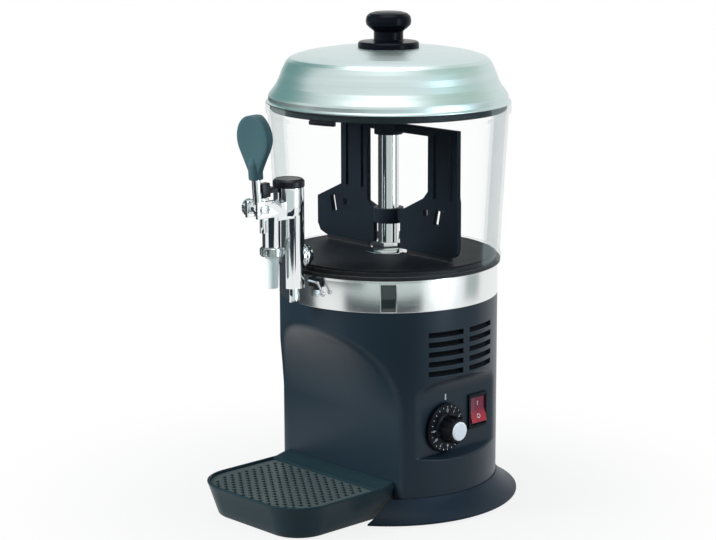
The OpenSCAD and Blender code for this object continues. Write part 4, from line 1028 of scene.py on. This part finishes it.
punch = perforated.add("GeometryNodeMeshCube", {}, {
    "Size": perforated.add("ShaderNodeCombineXYZ", {}, {0: hole, 1: hole, 2: punch_length})})
punches = perforated.add("GeometryNodeRealizeInstances", {}, {"Geometry": perforated.add(
    "GeometryNodeInstanceOnPoints", {}, {"Points": kept, "Instance": punch})})
perforated.made(perforated.add(
    "GeometryNodeMeshBoolean", {"operation": "DIFFERENCE", "solver": "EXACT"}, {
        "Mesh 1": perforated.given("Unit"), "Mesh 2": punches}))
grille = around("drip_grille")
grille_line = tray_line(3.0, 0, deck_at + 0.4)
hole_columns, hole_rows = 13, 11
hole_across, hole_along = 12.0, 9.0
first_row = deck_at + 8
field_middle = first_row + hole_along * (hole_rows - 1) / 2
grille_finish = moulded_black("grille_grey", (0.050, 0.068, 0.070), 1200, 0.00007, 0.36, 0.4)
make("drip_grille_plate",
     slab([(x + axis.x * 1000, y + axis.y * 1000) for x, y, _ in grille_line], grille.z0,
          grille.z1, "XY"),
     grille_finish, "grille", ["drip_grille"], 30,
     pattern=perforated, sizes={
         "Hole": 0.0048, "Across": hole_across / 1000, "Along": hole_along / 1000,
         "Columns": hole_columns, "Rows": hole_rows,
         "Middle": Vector((axis.x, axis.y - field_middle / 1000, grille.z0 / 1000 + 0.001)),
         "Half": 0.0324, "Corner": 0.031, "Edge": 0.0114})


# ---------------------------------------------------------------- thermostat dial
# A black moulded knob on the thermostat's spindle: a numbered skirt, a fluted grip and a white
# cap. A white line on the panel above it is what the numbers are read against.
dial = around("dial_knob")
dial_y, dial_z = (dial.y0 + dial.y1) / 2, (dial.z0 + dial.z1) / 2
dial_r, grip_r = (dial.z1 - dial.z0) / 2, 12.5
hub_r, spindle_r = 9.0, 3.1
skirt_back, hub_x = panel_x + 1.2, panel_x + 3.4
skirt_x, grip_x = panel_x + 5.6, panel_x + 20.6
dial_black = moulded_black("dial_black", (0.0045, 0.0055, 0.0080), 1500, 0.00005, 0.33)
dial_centre = (0, dial_y, dial_z)
make("dial_skirt",
     turned(rounded([(hub_r, skirt_back), (dial_r - 0.3, skirt_back), (dial_r, skirt_back + 0.4),
                     (dial_r, skirt_back + 2.8), (dial_r - 1.8, skirt_x - 0.1),
                     (grip_r + 2, skirt_x), (grip_r, skirt_x + 1), (grip_r - 1.3, grip_x - 1.0),
                     (grip_r - 2.4, grip_x), (spindle_r, grip_x), (spindle_r, hub_x),
                     (hub_r, hub_x)],
                    [0.2, 0.3, 0.5, 0.8, 1, 1.5, 1.5, 1, 0.6, 0, 0, 0]), 96, dial_centre, "X"),
     dial_black, "dial", ["dial_knob"], 40)
dial_steps = 12
rib_outline = rounded([(-1.3, grip_r - 2.2), (1.3, grip_r - 2.2), (0.85, grip_r + 0.5),
                       (-0.85, grip_r + 0.5)], 0.4, 3)
ring("dial_grip_ribs", slab(rib_outline, skirt_x, grip_x - 1.6, "YZ"), dial_steps, "X",
     dial_centre, dial_black, "dial")
cap_finish = Finish("cap_white")
cap_mottle = cap_finish.noise(60, 3)
cap_white = cap_finish.surface(
    Base_Color=cap_finish.blend(cap_mottle, (0.90, 0.92, 0.94, 1), (0.94, 0.95, 0.96, 1)),
    Roughness=0.26 + cap_mottle * 0.08, IOR=1.5, Normal=cap_finish.bump(cap_mottle, 0.0001, 0.2))
disc_r = grip_r - 3.6
make("dial_cap_disc",
     turned(rounded([(0, grip_x), (disc_r, grip_x), (disc_r, grip_x + 1.3),
                     (disc_r - 1.2, grip_x + 2.0), (0, grip_x + 2.05)], [0, 0.2, 0.5, 0.6, 0]),
            72, dial_centre, "X"),
     cap_white, "dial", ["dial_cap"], 40)
print_white = Finish("print_white")
print_wear = print_white.noise(500, 3)
printed = print_white.surface(
    Base_Color=print_white.blend(print_wear, (0.50, 0.52, 0.56, 1), (0.80, 0.82, 0.85, 1)),
    Roughness=0.5)
tick_r, tick_half = dial_r - 3.0, 0.35
ring("dial_ticks", slab([(-tick_half, tick_r - 0.6), (tick_half, tick_r - 0.6),
                         (tick_half, tick_r + 0.7), (-tick_half, tick_r + 0.7)],
                        skirt_x - 0.05, skirt_x + 0.12, "YZ"),
     2 * dial_steps, "X", dial_centre, printed, "dial")


def dial_number(name, text, size, place, turn):
    """A printed number on the dial's skirt, made a mesh before it is placed."""
    curve = bpy.data.curves.new(name, "FONT")
    curve.body = text
    curve.size = size
    curve.align_x = curve.align_y = "CENTER"
    curve.extrude = 0.08
    curve.resolution_u = 3
    words = bpy.data.objects.new(name, curve)
    bpy.context.scene.collection.objects.link(words)
    mesh = bpy.data.meshes.new_from_object(
        words.evaluated_get(bpy.context.evaluated_depsgraph_get()))
    bpy.data.objects.remove(words)
    c, s = cos(turn), sin(turn)
    shape = ([(place[0] + v.co.z, place[1] + v.co.x * c - v.co.y * s,
               place[2] + v.co.x * s + v.co.y * c) for v in mesh.vertices],
             [tuple(face.vertices) for face in mesh.polygons])
    make(name, shape, printed, "dial", ())


number_r, number_size = dial_r - 6.6, 5.0
for step in range(10):
    turn = -2 * pi * step / dial_steps
    dial_number(f"dial_number_{step}", str(step), number_size,
                (skirt_x + 0.06, dial_y - number_r * sin(turn), dial_z + number_r * cos(turn)),
                turn)
index_y, index_z = dial_y + 2.6, dial_z + dial_r + 2.0
index_half, index_length = 0.8, 6.0
make("panel_index",
     slab(rounded([(index_y - index_half, index_z), (index_y + index_half, index_z),
                   (index_y + index_half, index_z + index_length),
                   (index_y - index_half, index_z + index_length)], 0.3),
          panel_x - 0.1, panel_x + 0.12, "YZ"),
     printed, "base")


# ---------------------------------------------------------------- power switch
# A snap-in switch: black bezel, and a red rocker with a shallow vee face that rests with its upper
# half pressed in. The rocker is a tinted lens, so its colour is deep, and its pressed-in upper half
# is painted a darker red as painted shade.
switch_black = moulded_black("switch_black", (0.006, 0.009, 0.012), 1500, 0.00004, 0.30)
eased("switch_case", "switch_bezel", switch_black, "base", 0.6)
rocker = around("switch_rocker")
lens_red = Finish("rocker_red")
lens_spot = lens_red.add("ShaderNodeTexCoord", output="Object")
lens_height = lens_red.add("ShaderNodeSeparateXYZ", {}, {0: lens_spot}, 2)
lens_mid = (rocker.z0 + rocker.z1) / 2000
# Painted shade: above the rocker's middle its red is blended to a darker red, for its pressed-in
# half.
pressed_half_shade = lens_red.add("ShaderNodeMapRange", {}, {
    0: lens_height, 1: lens_mid - 0.006, 2: lens_mid + 0.002})
lens_grain = lens_red.noise(700, 2)
red_lens = lens_red.surface(
    Base_Color=lens_red.blend(pressed_half_shade, (0.46, 0.003, 0.025, 1), (0.20, 0.008, 0.040, 1)),
    Roughness=0.2 + lens_grain * 0.08, IOR=1.5, Coat_Weight=0.3,
    Normal=lens_red.bump(lens_grain, 0.00004, 0.3))
eased("switch_rocker", "rocker_lens", red_lens, "rocker", 0.7, segments=3)
rocker_x, rocker_y, rocker_z, rocker_tilt = panel_x - 3.4, 28.0, 91.5, radians(8)
vee_slope, lower_face, upper_face, off_height = 0.133, 5.15, 4.4, 6.3


def on_rocker(x, y, z):
    """A point of the rocker at rest, from one drawn with the rocker level."""
    return (rocker_x + x * cos(rocker_tilt) - z * sin(rocker_tilt), rocker_y + y,
            rocker_z + x * sin(rocker_tilt) + z * cos(rocker_tilt))


off_verts, off_faces = turned(rounded([(1.5, 0), (2.2, 0), (2.2, 0.25), (1.5, 0.25)], 0.1), 32,
                              along="X")
off_verts = [on_rocker(x + lower_face - z * vee_slope, y, z - off_height)
             for x, y, z in off_verts]
on_verts, on_faces = slab([(-0.4, 4.2), (0.4, 4.2), (0.4, 8.2), (-0.4, 8.2)], 0, 0.25, "YZ")
on_verts = [on_rocker(x + upper_face + z * vee_slope, y, z) for x, y, z in on_verts]
make("rocker_marks", join((off_verts, off_faces), (on_verts, on_faces)), printed, "rocker")


# ---------------------------------------------------------------- bowl latch
# A black moulded catch at the band's upper edge holds the bowl down beside the tap, with a small
# sprung hook of zinc-plated wire.
eased("bowl_latch", "bowl_latch_catch", tap_black, "base", 0.4)
dress(zinc, "latch_hook")
